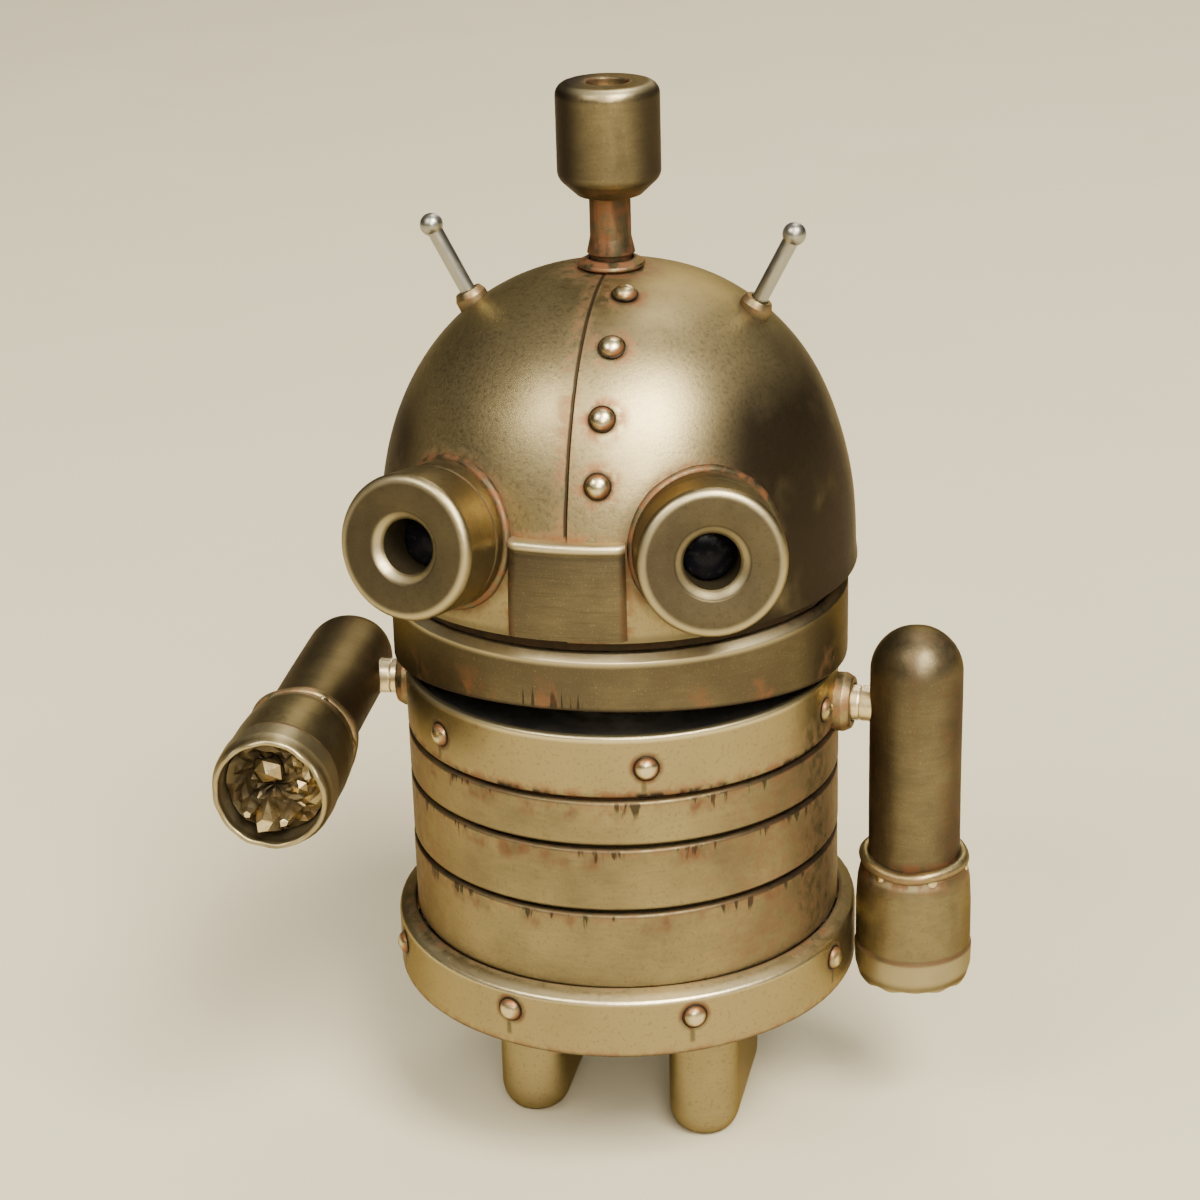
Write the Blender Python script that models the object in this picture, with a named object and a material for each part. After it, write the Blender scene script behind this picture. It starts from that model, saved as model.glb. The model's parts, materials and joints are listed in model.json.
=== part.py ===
"""A tin wind-up walking robot, built the way it comes apart on a bench: riveted body rings round a small
clockwork, a domed head that turns on a neck tube, two arms on friction pins and two walking legs.

Named sizes are in millimetres; the helpers turn them into metres. The robot faces -Y, and left and right
are its own, so its left side is at +X.
"""

import math

import bmesh
import bpy
from mathutils import Matrix, Vector

MM = 0.001

# The whole robot
BODY_R = 22.0
WALL = 0.8
GAP = 0.3  # between sheet-metal pieces that meet
FIT = 0.15  # between pieces that slide or turn on each other
ROUND_SIDES = 32
NECK_SIDES = 24
PIN_SIDES = 16
AXIS_BEHIND_ORIGIN = 3.7  # the body's axis stands behind the middle of the footprint

# Body rings: heights of the joints between them, from the floor
BASE_Z = 16.9
HOOP_Z = (23.9, 31.9, 38.9, 44.0)
BODY_TOP_Z = 50.64
GROOVE = 0.4
EDGE_ROUND = 0.35
LIP_DROP = 1.2
BASE_R = 23.9
BASE_RIVETS = 8
TOP_RIVETS = 6
BASE_RIVET_FIRST = -17.8  # degrees round from the front, towards the robot's left
TOP_RIVET_FIRST = 17.4
RIVET_R = 1.15
RIVET_H = 0.8

# Head
JAW_R = 23.0
JAW_FRONT_Z = 53.65
JAW_ARCH = 1.2  # over 1, the arch is drawn in towards the front
JAW_TOP_Z = 59.4
DOME_R = 23.8
DOME_Z = 61.2
DOME_H = 29.5
DOME_POWER = 2.3
DOME_WALL = 0.7
CROWN_HOLE_R = 2.9
NECK_PLAY = 0.2  # between the neck tube's shoulder and the head plate
PLATE_HALF_WIDTH = 5.5
PLATE_TOP_Z = 70.7
SEAM_RIVET_X = 2.75
SEAM_RIVET_Z = (75.7, 81.2, 86.5, 89.7)

# Eyes
EYE_X = 14.4
EYE_Y = -27.4
EYE_Z = 71.0
EYE_R = 6.9
EYE_BORE_R = 2.6
EYE_BORE_DEPTH = 5.6
EYE_YAW = 15.0
EYE_PITCH = 9.0
EYE_DEPTH = 13.0

# Aerials
AERIAL_R = 0.78
AERIAL_FOOT = (13.85, 86.65)
AERIAL_TILT = 27.4
AERIAL_LENGTH = 8.6
AERIAL_BALL_R = 1.15
FERRULE_R = 1.6

# Winding stem and knob
STEM_R = 2.0
STEM_BORE_R = 1.25
STEM_LOW = 89.3
STEM_HIGH = 99.4
ARBOR_R = 1.0
ARBOR_TOP = 104.9
CROWN_SEAT = 90.8  # where the bush's flange rests on the dome
CROWN_FLANGE_R = 3.7
KNOB_R = 5.0
KNOB_Z = 97.8
KNOB_TOP_Z = 108.6
KNOB_RECESS_R = 2.0
KNOB_RECESS_Z = 106.8
KNOB_BORE_R = 1.2
SCREW_R = 1.75

# Arms
SHOULDER_X = 30.05
SHOULDER_Z = 46.0
SHOULDER_TOE_IN = 3.4
PIN_R = 1.8
PIN_HEAD_R = 2.6
BUSH_R = 3.0
ARM_R = 4.65
ARM_TOP = 4.0  # centre of the rounded top above the pin
ARM_WALL = 0.6
WRIST = 16.3  # below the pin
HAND_END = 29.7
HAND_R = 5.9
CLAW_END = 31.4
RIGHT_ARM_RAISED = 90.0

# Legs
LEG_X = 9.25
LEG_R = 3.7
LEG_TOP_Z = 16.6
SOLE_INSET = 2.0
SOLE_RISE = 2.8
LEG_BACK_Y = 4.5
LEFT_LEG_FRONT_Y = -7.1
RIGHT_LEG_FRONT_Y = -5.3
AXLE_Y = -2.3
AXLE_Z = 21.3
AXLE_R = 0.8
STRAP_WIDTH = 6.0
STRAP_THICK = 1.0

# Clockwork
BASE_PLATE_Z = 18.5
PLATE_THICK = 0.8
LOWER_PLATE_Z = 29.2
UPPER_PLATE_Z = 41.2
PLATE_R = 17.5
PILLAR_RING_R = 15.0
PILLAR_R = 1.2
PILLAR_HEAD_R = 2.0
CAM_Y = -9.0
CAM_R = 2.0
CAM_THROW = 0.65
CAM_THICK = 1.2
CAM_LOW = {"l": 25.2, "r": 27.0}
CAM_SPINDLE_R = 0.8
CAM_SPINDLE_LOW = 24.9
GOVERNOR_X = 5.2
GOVERNOR_Y = -12.0
GOVERNOR_SPINDLE_R = 0.6
WEIGHT_R = 3.0
BEARING_FIT = 0.12
GREAT_TEETH = 30
CAM_PINION_TEETH = 10
CAM_WHEEL_TEETH = 20
GOVERNOR_TEETH = 10
GREAT_MODULE = 0.45
GOVERNOR_MODULE = 0.4
GREAT_PHASE = 6.0  # degrees, so that a gap meets the pinion's tooth
GREAT_WHEEL_Z = (38.6, 40.2)
CAM_PINION_Z = (38.4, 40.4)
CAM_WHEEL_Z = (30.7, 31.9)
GOVERNOR_PINION_Z = (30.5, 32.1)
WEIGHT_Z = (34.4, 36.6)
SPRING_Z = (33.0, 37.2)
SPRING_INNER_R = 1.7
SPRING_OUTER_R = 7.2
SPRING_TURNS = 4
SPRING_HALF_THICK = 0.14
DECK_Z = 48.9
NECK_R = 6.0
HEAD_PLATE_Z = 59.7


def clear_scene():
    for obj in list(bpy.data.objects):
        bpy.data.objects.remove(obj, do_unlink=True)


def material(name, colour, roughness, metallic=1.0):
    made = bpy.data.materials.new(name)
    made.use_nodes = True
    shader = made.node_tree.nodes["Principled BSDF"]
    shader.inputs["Base Color"].default_value = (*colour, 1.0)
    shader.inputs["Roughness"].default_value = roughness
    shader.inputs["Metallic"].default_value = metallic
    return made


def empty(name, parent=None, location=(0, 0, 0), rotation=(0, 0, 0)):
    """A joint's centre, or the frame of the whole robot."""
    made = bpy.data.objects.new(name, None)
    bpy.context.scene.collection.objects.link(made)
    made.parent = parent
    made.location = Vector(location) * MM
    made.rotation_euler = [math.radians(angle) for angle in rotation]
    return made


def solid(name, bm, skin, parent, location=(0, 0, 0), rotation=(0, 0, 0)):
    """An object from a closed mesh, smooth on its round faces."""
    bmesh.ops.remove_doubles(bm, verts=bm.verts, dist=1e-7)
    bmesh.ops.recalc_face_normals(bm, faces=bm.faces)
    mesh = bpy.data.meshes.new(name)
    bm.to_mesh(mesh)
    bm.free()
    mesh.shade_smooth()
    mesh.set_sharp_from_angle(angle=math.radians(35))
    made = bpy.data.objects.new(name, mesh)
    bpy.context.scene.collection.objects.link(made)
    made.parent = parent
    made.location = Vector(location) * MM
    made.rotation_euler = [math.radians(angle) for angle in rotation]
    if skin is None:
        made.hide_render = True
        made.display_type = "WIRE"
    else:
        mesh.materials.append(skin)
    return made


def boolean(target, tool, operation="DIFFERENCE"):
    """Cuts the target with a helper, or joins the helper to it."""
    change = target.modifiers.new(operation.title() + "_" + tool.name, "BOOLEAN")
    change.operation = operation
    change.object = tool
    tool.hide_render = True
    tool.display_type = "WIRE"


def turned(profile, sides, ring=False):
    """A mesh turned about Z from (radius, height) points. A ring's outline closes on itself."""
    bm = bmesh.new()
    verts = [bm.verts.new((r * MM, 0, z * MM)) for r, z in profile]
    edges = [bm.edges.new(pair) for pair in zip(verts, verts[1:])]
    if ring:
        edges.append(bm.edges.new((verts[-1], verts[0])))
    bmesh.ops.spin(
        bm,
        geom=verts + edges,
        cent=(0, 0, 0),
        axis=(0, 0, 1),
        angle=math.tau,
        steps=sides,
        use_merge=True,
    )
    return bm


def arc(centre_r, centre_z, radius, start, end, steps):
    """Points of a profile along an arc, in degrees from the +r direction."""
    points = []
    for i in range(steps + 1):
        angle = math.radians(start + (end - start) * i / steps)
        point = (centre_r + radius * math.cos(angle), centre_z + radius * math.sin(angle))
        points.append(point)
    return points


def rod(radius, low, high, sides=PIN_SIDES):
    return turned([(0, low), (radius, low), (radius, high), (0, high)], sides)


def washer(inner, outer, low, high, sides=ROUND_SIDES):
    return turned([(inner, low), (outer, low), (outer, high), (inner, high)], sides, True)


def block(low, high):
    """A box between two corners."""
    bm = bmesh.new()
    bmesh.ops.create_cube(bm, size=1.0)
    size = [(b - a) * MM for a, b in zip(low, high)]
    middle = [(a + b) / 2 * MM for a, b in zip(low, high)]
    bmesh.ops.scale(bm, verts=bm.verts, vec=size)
    bmesh.ops.translate(bm, verts=bm.verts, vec=middle)
    return bm


def prism(outline, low, high):
    """An outline of (x, y) points, extruded from one height to another."""
    bm = bmesh.new()
    floor = bm.faces.new([bm.verts.new((x * MM, y * MM, low * MM)) for x, y in outline])
    raised = bmesh.ops.extrude_face_region(bm, geom=[floor])["geom"]
    top = [v for v in raised if isinstance(v, bmesh.types.BMVert)]
    bmesh.ops.translate(bm, verts=top, vec=(0, 0, (high - low) * MM))
    return bm


def drill(target, name, parent, radius, low, high, location, rotation=(0, 0, 0), sides=PIN_SIDES):
    """A round hole through the target, along the helper's own Z axis."""
    tool = solid(name, rod(radius, low, high, sides), None, parent, location, rotation)
    boolean(target, tool)


def on_dome(height, extra=0.0):
    """The dome's radius at a height above the floor, grown by extra."""
    rise = min((height - DOME_Z) / (DOME_H + extra), 1.0)
    return (DOME_R + extra) * (1 - rise**DOME_POWER) ** (1 / DOME_POWER)


def dome_points(extra, top_r, steps):
    """The dome's outline from its rim up to a radius near the crown, grown by extra."""
    radius = DOME_R + extra
    height = DOME_H + extra
    last = math.acos((top_r / radius) ** (DOME_POWER / 2))
    points = []
    for i in range(steps + 1):
        angle = last * i / steps
        r = radius * math.cos(angle) ** (2 / DOME_POWER)
        z = DOME_Z + height * math.sin(angle) ** (2 / DOME_POWER)
        points.append((r, z))
    return points


def dome_lean(height):
    """Degrees between the vertical and the dome's outward normal at a height."""
    radial = (on_dome(height) / DOME_R) ** (DOME_POWER - 1) / DOME_R
    upward = ((height - DOME_Z) / DOME_H) ** (DOME_POWER - 1) / DOME_H
    return math.degrees(math.atan2(radial, upward))


def gear_outline(teeth, module, phase=0.0):
    """Straight-flanked teeth, cut thin so that a pair in mesh runs with backlash."""
    pitch = math.tau / teeth
    tip_r = module * (teeth / 2 + 0.7)
    root_r = module * (teeth / 2 - 1.0)
    points = []
    for i in range(teeth):
        middle = math.radians(phase) + pitch * i
        flanks = ((root_r, -0.27), (tip_r, -0.13), (tip_r, 0.13), (root_r, 0.27))
        for r, share in flanks:
            angle = middle + share * pitch
            points.append((r * math.cos(angle), r * math.sin(angle)))
    return points


def gear(name, teeth, module, bore, low, high, skin, parent, phase=0.0):
    made = solid(name, prism(gear_outline(teeth, module, phase), low, high), skin, parent)
    drill(made, name + "_bore", parent, bore, low - 1, high + 1, (0, 0, 0))
    return made


def round_rivet(shank_r, shank):
    """A domed head above z = 0 with a shank below it."""
    head = arc(0, 0, 1, 0, 90, 3)
    outline = [(r * RIVET_R, z * RIVET_H) for r, z in head]
    return turned([(0, -shank), (shank_r, -shank), (shank_r, 0)] + outline, 8)


def rivet_band(target, count, first, height, radius, parent):
    """Rivet heads round a band, joined to it."""
    for i in range(count):
        turn = first + 360 / count * i
        angle = math.radians(turn)
        place = (radius * math.sin(angle), -radius * math.cos(angle), height)
        name = f"{target.name}_rivet_{i + 1}"
        head = solid(name, round_rivet(RIVET_R * 0.8, 0.4), None, parent, place, (90, 0, turn))
        boolean(target, head, "UNION")


def body_ring(low, high):
    """A pressed ring whose lower lip nests inside the ring below it."""
    lip_r = BODY_R - WALL - 0.25
    return [
        (BODY_R - EDGE_ROUND, low),
        (BODY_R, low + EDGE_ROUND),
        (BODY_R, high - EDGE_ROUND),
        (BODY_R - EDGE_ROUND, high),
        (BODY_R - WALL, high),
        (BODY_R - WALL, low + WALL),
        (lip_r - 0.65, low + WALL),
        (lip_r - 0.65, low - LIP_DROP),
        (lip_r, low - LIP_DROP),
        (lip_r, low),
    ]


def make_body_rings(skin, frame):
    half = GROOVE / 2
    rings = {}
    low_hoop = [
        (BODY_R - WALL, BASE_PLATE_Z + PLATE_THICK + GAP),
        (BODY_R, BASE_PLATE_Z + PLATE_THICK + GAP),
        (BODY_R, HOOP_Z[1] - half - EDGE_ROUND),
        (BODY_R - EDGE_ROUND, HOOP_Z[1] - half),
        (BODY_R - WALL, HOOP_Z[1] - half),
    ]
    rings["lower_hoop"] = solid("lower_hoop", turned(low_hoop, ROUND_SIDES, True), skin, frame)
    spans = {
        "middle_hoop": (HOOP_Z[1] + half, HOOP_Z[2] - half),
        "upper_hoop": (HOOP_Z[2] + half, HOOP_Z[3] - half),
        "top_band": (HOOP_Z[3] + half, BODY_TOP_Z),
    }
    for name, (low, high) in spans.items():
        rings[name] = solid(name, turned(body_ring(low, high), ROUND_SIDES, True), skin, frame)
    middle = (HOOP_Z[3] + BODY_TOP_Z) / 2
    rivet_band(rings["top_band"], TOP_RIVETS, TOP_RIVET_FIRST, middle, BODY_R, frame)
    return rings


def make_base(skin, steel, frame):
    inner = BASE_R - WALL
    ledge_r = BODY_R + FIT
    outline = [
        (BASE_R - EDGE_ROUND, BASE_Z),
        (BASE_R, BASE_Z + EDGE_ROUND),
        (BASE_R, HOOP_Z[0] - 1.0),
        (BASE_R - 0.5, HOOP_Z[0] - 0.4),
        (ledge_r, HOOP_Z[0]),
        (ledge_r, HOOP_Z[0] - WALL),
        (inner, HOOP_Z[0] - 1.4),
        (inner, BASE_Z),
    ]
    band = solid("base_band", turned(outline, ROUND_SIDES, True), skin, frame)
    rivet_band(band, BASE_RIVETS, BASE_RIVET_FIRST, BASE_Z + 4.1, BASE_R, frame)
    top = BASE_PLATE_Z + PLATE_THICK
    plate = rod(inner - GAP, BASE_PLATE_Z, top, ROUND_SIDES)
    plate = solid("base_plate", plate, steel, frame)
    half = STRAP_WIDTH / 2
    for side in (-1, 1):
        x = side * LEG_X
        low = (x - 1.0, AXLE_Y - half - 1.2, BASE_PLATE_Z - 1)
        high = (x + 1.0, AXLE_Y + half + 1.2, top + 1)
        boolean(plate, solid(f"strap_slot_{side}", block(low, high), None, frame))


def make_legs(skin, steel, frame):
    """Each leg is a long shoe on a flat strap, which swings on the axle and follows a cam."""
    fronts = {1: LEFT_LEG_FRONT_Y, -1: RIGHT_LEG_FRONT_Y}
    half = STRAP_WIDTH / 2
    for side, name in ((1, "l"), (-1, "r")):
        pivot = empty(f"leg_{name}_pivot", frame, (0, AXLE_Y, AXLE_Z))
        shoe = leg_shoe(side * LEG_X, fronts[side] - AXLE_Y, LEG_BACK_Y - AXLE_Y)
        shoe = solid(f"foot_{name}", shoe, skin, pivot)
        x = side * LEG_X
        low = (x - 0.65, -half - 0.2, 10.5 - AXLE_Z)
        high = (x + 0.65, half + 0.2, LEG_TOP_Z + 1 - AXLE_Z)
        boolean(shoe, solid(f"foot_slot_{name}", block(low, high), None, pivot))
        top = CAM_LOW[name] + CAM_THICK - AXLE_Z
        low = (x - STRAP_THICK / 2, -half, 11.0 - AXLE_Z)
        high = (x + STRAP_THICK / 2, half, top)
        strap = solid(f"leg_strap_{name}", block(low, high), steel, pivot)
        inner, outer = sorted((side * 0.2, x))
        finger = block((inner, -half, top - CAM_THICK), (outer, -half + 1.0, top))
        boolean(strap, solid(f"strap_finger_{name}", finger, None, pivot), "UNION")
        hole = AXLE_R + FIT
        drill(strap, f"strap_hole_{name}", pivot, hole, -2, 2, (x, 0, 0), (0, 90, 0))


def leg_shoe(x, front_y, back_y):
    """A long shoe with round ends, rounded under to a flat sole. Heights are from the axle."""
    curve = [math.radians(22.5 * i) for i in range(5)]
    levels = [(SOLE_INSET * (1 - math.sin(a)), SOLE_RISE * (1 - math.cos(a))) for a in curve]
    levels += [(0.0, LEG_TOP_Z - 0.6), (0.5, LEG_TOP_Z)]
    half = 10  # points round each end
    bm = bmesh.new()
    loops = []
    for inset, z in levels:
        loop = []
        for i in range(2 * half):
            at_back = i < half
            turn = math.pi * (i % half) / (half - 1) + (0 if at_back else math.pi)
            middle = back_y if at_back else front_y
            r = LEG_R - inset
            corner = (x + r * math.cos(turn), middle + r * math.sin(turn), z - AXLE_Z)
            loop.append(bm.verts.new(Vector(corner) * MM))
        loops.append(loop)
    bm.faces.new(loops[0])
    bm.faces.new(loops[-1])
    for lower, upper in zip(loops, loops[1:]):
        for i in range(2 * half):
            j = (i + 1) % (2 * half)
            bm.faces.new((lower[i], lower[j], upper[j], upper[i]))
    return bm


def make_axle(steel, frame):
    axle = rod(AXLE_R, -13.2, 13.2)
    solid("leg_axle", axle, steel, frame, (0, AXLE_Y, AXLE_Z), (0, 90, 0))
    foot = BASE_PLATE_Z + PLATE_THICK + FIT
    for side, name in ((1, "l"), (-1, "r")):
        x = (11.5 * side, 12.5 * side)
        ear = block((min(x), AXLE_Y - 2, foot), (max(x), AXLE_Y + 2, AXLE_Z + 2))
        ear = solid(f"axle_bracket_{name}", ear, steel, frame)
        x = (11.5 * side, 15.5 * side)
        flange = block((min(x), AXLE_Y - 2, foot), (max(x), AXLE_Y + 2, foot + 0.8))
        boolean(ear, solid(f"bracket_foot_{name}", flange, None, frame), "UNION")
        place = (12 * side, AXLE_Y, AXLE_Z)
        drill(ear, f"bracket_hole_{name}", frame, AXLE_R + 0.1, -2, 2, place, (0, 90, 0))


def make_movement(brass, steel, frame):
    """Two plates on three pillars, drilled for the arbor, the cam spindle and the governor."""
    holes = (
        (0, 0, ARBOR_R + BEARING_FIT),
        (0, CAM_Y, CAM_SPINDLE_R + BEARING_FIT),
        (GOVERNOR_X, GOVERNOR_Y, GOVERNOR_SPINDLE_R + BEARING_FIT),
    )
    pillars = []
    for i in range(3):
        angle = math.radians(90 + 120 * i)
        pillars.append((PILLAR_RING_R * math.cos(angle), PILLAR_RING_R * math.sin(angle)))
    heights = {"lower_movement_plate": LOWER_PLATE_Z, "upper_movement_plate": UPPER_PLATE_Z}
    for name, low in heights.items():
        plate = solid(name, rod(PLATE_R, low, low + PLATE_THICK, NECK_SIDES), brass, frame)
        drilled = holes + tuple((x, y, PILLAR_R + 0.1) for x, y in pillars)
        for i, (x, y, r) in enumerate(drilled):
            drill(plate, f"{name}_hole_{i}", frame, r, low - 1, low + 2, (x, y, 0), sides=12)
    foot = BASE_PLATE_Z + PLATE_THICK + FIT
    head = UPPER_PLATE_Z + PLATE_THICK + 0.2
    outline = [(0, foot), (PILLAR_R, foot), (PILLAR_R, head)]
    outline += [(PILLAR_HEAD_R, head), (PILLAR_HEAD_R, head + 0.8), (0, head + 0.8)]
    for i, (x, y) in enumerate(pillars):
        solid(f"pillar_{i + 1}", turned(outline, 14), steel, frame, (x, y, 0))


def mainspring_mesh():
    """A flat spiral strip round the arbor."""
    per_turn = 14
    low, high = SPRING_Z
    bm = bmesh.new()
    pairs = []
    for i in range(SPRING_TURNS * per_turn + 1):
        share = i / (SPRING_TURNS * per_turn)
        angle = math.tau * i / per_turn
        r = SPRING_INNER_R + (SPRING_OUTER_R - SPRING_INNER_R) * share
        across = Vector((math.cos(angle), math.sin(angle), 0))
        up = Vector((0, 0, low))
        pair = [across * (r + d) + up for d in (-SPRING_HALF_THICK, SPRING_HALF_THICK)]
        pairs.append([bm.verts.new(point * MM) for point in pair])
    for (a, b), (c, d) in zip(pairs, pairs[1:]):
        bm.faces.new((a, b, d, c))
    raised = bmesh.ops.extrude_face_region(bm, geom=list(bm.faces))["geom"]
    top = [v for v in raised if isinstance(v, bmesh.types.BMVert)]
    bmesh.ops.translate(bm, verts=top, vec=(0, 0, (high - low) * MM))
    return bm


def make_train(brass, steel, spring_steel, frame):
    """Mainspring, great wheel, cam spindle and governor, all on upright spindles between the plates."""
    foot = LOWER_PLATE_Z + 0.1
    solid("winding_arbor", rod(ARBOR_R, foot, ARBOR_TOP), steel, frame)
    solid("mainspring", mainspring_mesh(), spring_steel, frame)
    bore = ARBOR_R + 0.1
    gear("great_wheel", GREAT_TEETH, GREAT_MODULE, bore, *GREAT_WHEEL_Z, brass, frame, GREAT_PHASE)

    cams = empty("cam_spindle_axis", frame, (0, CAM_Y, 0))
    top = UPPER_PLATE_Z + PLATE_THICK + 0.6
    spindle = solid("cam_spindle", rod(CAM_SPINDLE_R, CAM_SPINDLE_LOW, top), steel, cams)
    for name, throw in (("l", CAM_THROW), ("r", -CAM_THROW)):
        cam = rod(CAM_R, CAM_LOW[name], CAM_LOW[name] + CAM_THICK)
        boolean(spindle, solid(f"cam_{name}", cam, None, cams, (0, throw, 0)), "UNION")
    bore = CAM_SPINDLE_R + 0.1
    gear("cam_pinion", CAM_PINION_TEETH, GREAT_MODULE, bore, *CAM_PINION_Z, brass, cams)
    gear("cam_wheel", CAM_WHEEL_TEETH, GOVERNOR_MODULE, bore, *CAM_WHEEL_Z, brass, cams)

    governor = empty("governor_axis", frame, (GOVERNOR_X, GOVERNOR_Y, 0))
    bore = GOVERNOR_SPINDLE_R + BEARING_FIT
    solid("governor_spindle", rod(GOVERNOR_SPINDLE_R, foot, top, 12), steel, governor)
    gear("governor_pinion", GOVERNOR_TEETH, GOVERNOR_MODULE, bore, *GOVERNOR_PINION_Z, brass, governor)
    solid("governor_weight", washer(bore + 0.03, WEIGHT_R, *WEIGHT_Z, 20), brass, governor)


def make_neck(steel, frame):
    """The deck closes the body, and the neck tube stands through it and carries the head."""
    deck_r = BODY_R - WALL - 0.2
    deck = washer(NECK_R + GAP, deck_r, DECK_Z, DECK_Z + PLATE_THICK)
    solid("deck_plate", deck, steel, frame)
    foot = UPPER_PLATE_Z + PLATE_THICK + 0.2
    shoulder = HEAD_PLATE_Z - NECK_PLAY
    outline = [
        (5.0, foot),
        (8.0, foot),
        (8.0, foot + 0.8),
        (NECK_R, foot + 0.8),
        (NECK_R, shoulder - 0.9),
        (8.0, shoulder - 0.9),
        (8.0, shoulder),
        (5.6, shoulder),
        (5.6, 62.5),
        (5.0, 62.5),
    ]
    solid("neck_tube", turned(outline, NECK_SIDES, True), steel, frame)
    solid("neck_clip", washer(5.75, 8.0, 61.1, 61.9, NECK_SIDES), steel, frame)


def jaw_mesh():
    """A ring whose lower edge arches up over the mouth."""
    inner = JAW_R - WALL
    back_z = BODY_TOP_Z + 0.3
    bm = bmesh.new()
    loops = []
    for i in range(ROUND_SIDES):
        turn = math.tau * i / ROUND_SIDES
        facing = max(0.0, math.cos(turn))
        low = back_z + (JAW_FRONT_Z - back_z) * facing**JAW_ARCH
        outline = (
            (inner, low),
            (JAW_R - EDGE_ROUND, low),
            (JAW_R, low + EDGE_ROUND),
            (JAW_R, JAW_TOP_Z - 0.7),
            (JAW_R - 0.5, JAW_TOP_Z),
            (inner - 0.6, JAW_TOP_Z),
            (inner - 0.6, JAW_TOP_Z - WALL),
            (inner, JAW_TOP_Z - WALL),
        )
        corners = [(r * math.sin(turn), -r * math.cos(turn), z) for r, z in outline]
        loops.append([bm.verts.new(Vector(corner) * MM) for corner in corners])
    for first, second in zip(loops, loops[1:] + loops[:1]):
        for a in range(len(first)):
            b = (a + 1) % len(first)
            bm.faces.new((first[a], second[a], second[b], first[b]))
    return bm


def make_head(skin, steel, silver, head):
    outer = dome_points(0.0, CROWN_HOLE_R, 10)
    inner = dome_points(-DOME_WALL, CROWN_HOLE_R, 6)
    dome = solid("head_dome", turned(outer + inner[::-1], ROUND_SIDES, True), skin, head)
    solid("jaw_ring", jaw_mesh(), skin, head)
    plate = washer(5.75, 22.4, HEAD_PLATE_Z, HEAD_PLATE_Z + 1.2)
    solid("head_plate", plate, steel, head)
    make_face_plate(skin, head)
    for i, z in enumerate(SEAM_RIVET_Z):
        angle = math.asin(SEAM_RIVET_X / on_dome(z))
        place = (SEAM_RIVET_X, -on_dome(z) * math.cos(angle), z)
        lean = dome_lean(z)
        turn = (lean, 0, math.degrees(angle))
        drill(dome, f"seam_hole_{i + 1}", head, 0.62, -3, 3, place, turn, 10)
        out = Matrix.Rotation(angle, 3, "Z") @ Matrix.Rotation(math.radians(lean), 3, "X")
        seat = Vector(place) + out @ Vector((0, 0, 0.12))
        solid(f"seam_rivet_{i + 1}", round_rivet(0.5, 1.6), skin, head, seat, turn)
    for side, name in ((1, "l"), (-1, "r")):
        make_aerial(name, side, dome, silver, skin, head)
    crown = [
        (STEM_R + FIT, CROWN_SEAT - 1.9),
        (CROWN_HOLE_R - FIT, CROWN_SEAT - 1.9),
        (CROWN_HOLE_R - FIT, CROWN_SEAT),
        (CROWN_FLANGE_R, CROWN_SEAT),
        (CROWN_FLANGE_R, CROWN_SEAT + 0.5),
        (CROWN_FLANGE_R - 0.6, CROWN_SEAT + 1.1),
        (STEM_R + FIT, CROWN_SEAT + 1.1),
    ]
    solid("crown_bush", turned(crown, 18, True), skin, head)


def make_face_plate(skin, head):
    """A strip of sheet that follows the dome between the eyes."""
    columns, rows = 8, 6
    low = DOME_Z + 0.3
    bm = bmesh.new()
    grid = []
    for row in range(rows + 1):
        z = low + (PLATE_TOP_Z - low) * row / rows
        r = on_dome(z) + FIT
        line = []
        for column in range(columns + 1):
            angle = math.asin(PLATE_HALF_WIDTH / DOME_R) * (2 * column / columns - 1)
            corner = Vector((r * math.sin(angle), -r * math.cos(angle), z))
            line.append(bm.verts.new(corner * MM))
        grid.append(line)
    for lower, upper in zip(grid, grid[1:]):
        for a in range(columns):
            bm.faces.new((lower[a], lower[a + 1], upper[a + 1], upper[a]))
    plate = solid("face_plate", bm, skin, head)
    thicken = plate.modifiers.new("Sheet", "SOLIDIFY")
    thicken.thickness = 0.7 * MM
    thicken.offset = 1.0


def make_aerial(name, side, dome, silver, skin, head):
    foot = (side * AERIAL_FOOT[0], 0, AERIAL_FOOT[1])
    turn = (0, side * AERIAL_TILT, 0)
    drill(dome, f"aerial_hole_{name}", head, FERRULE_R + FIT, -4, 4, foot, turn, 14)
    bore = AERIAL_R + FIT
    collar = [(bore, -1.9), (FERRULE_R, -1.9), (FERRULE_R, 1.0), (1.35, 1.35), (bore, 1.35)]
    solid(f"aerial_ferrule_{name}", turned(collar, 14, True), skin, head, foot, turn)
    wire = [(0, -1.7), (AERIAL_R, -1.7)] + arc(0, AERIAL_LENGTH, AERIAL_BALL_R, -42, 90, 5)
    solid(f"aerial_{name}", turned(wire, 12), silver, head, foot, turn)


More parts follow.
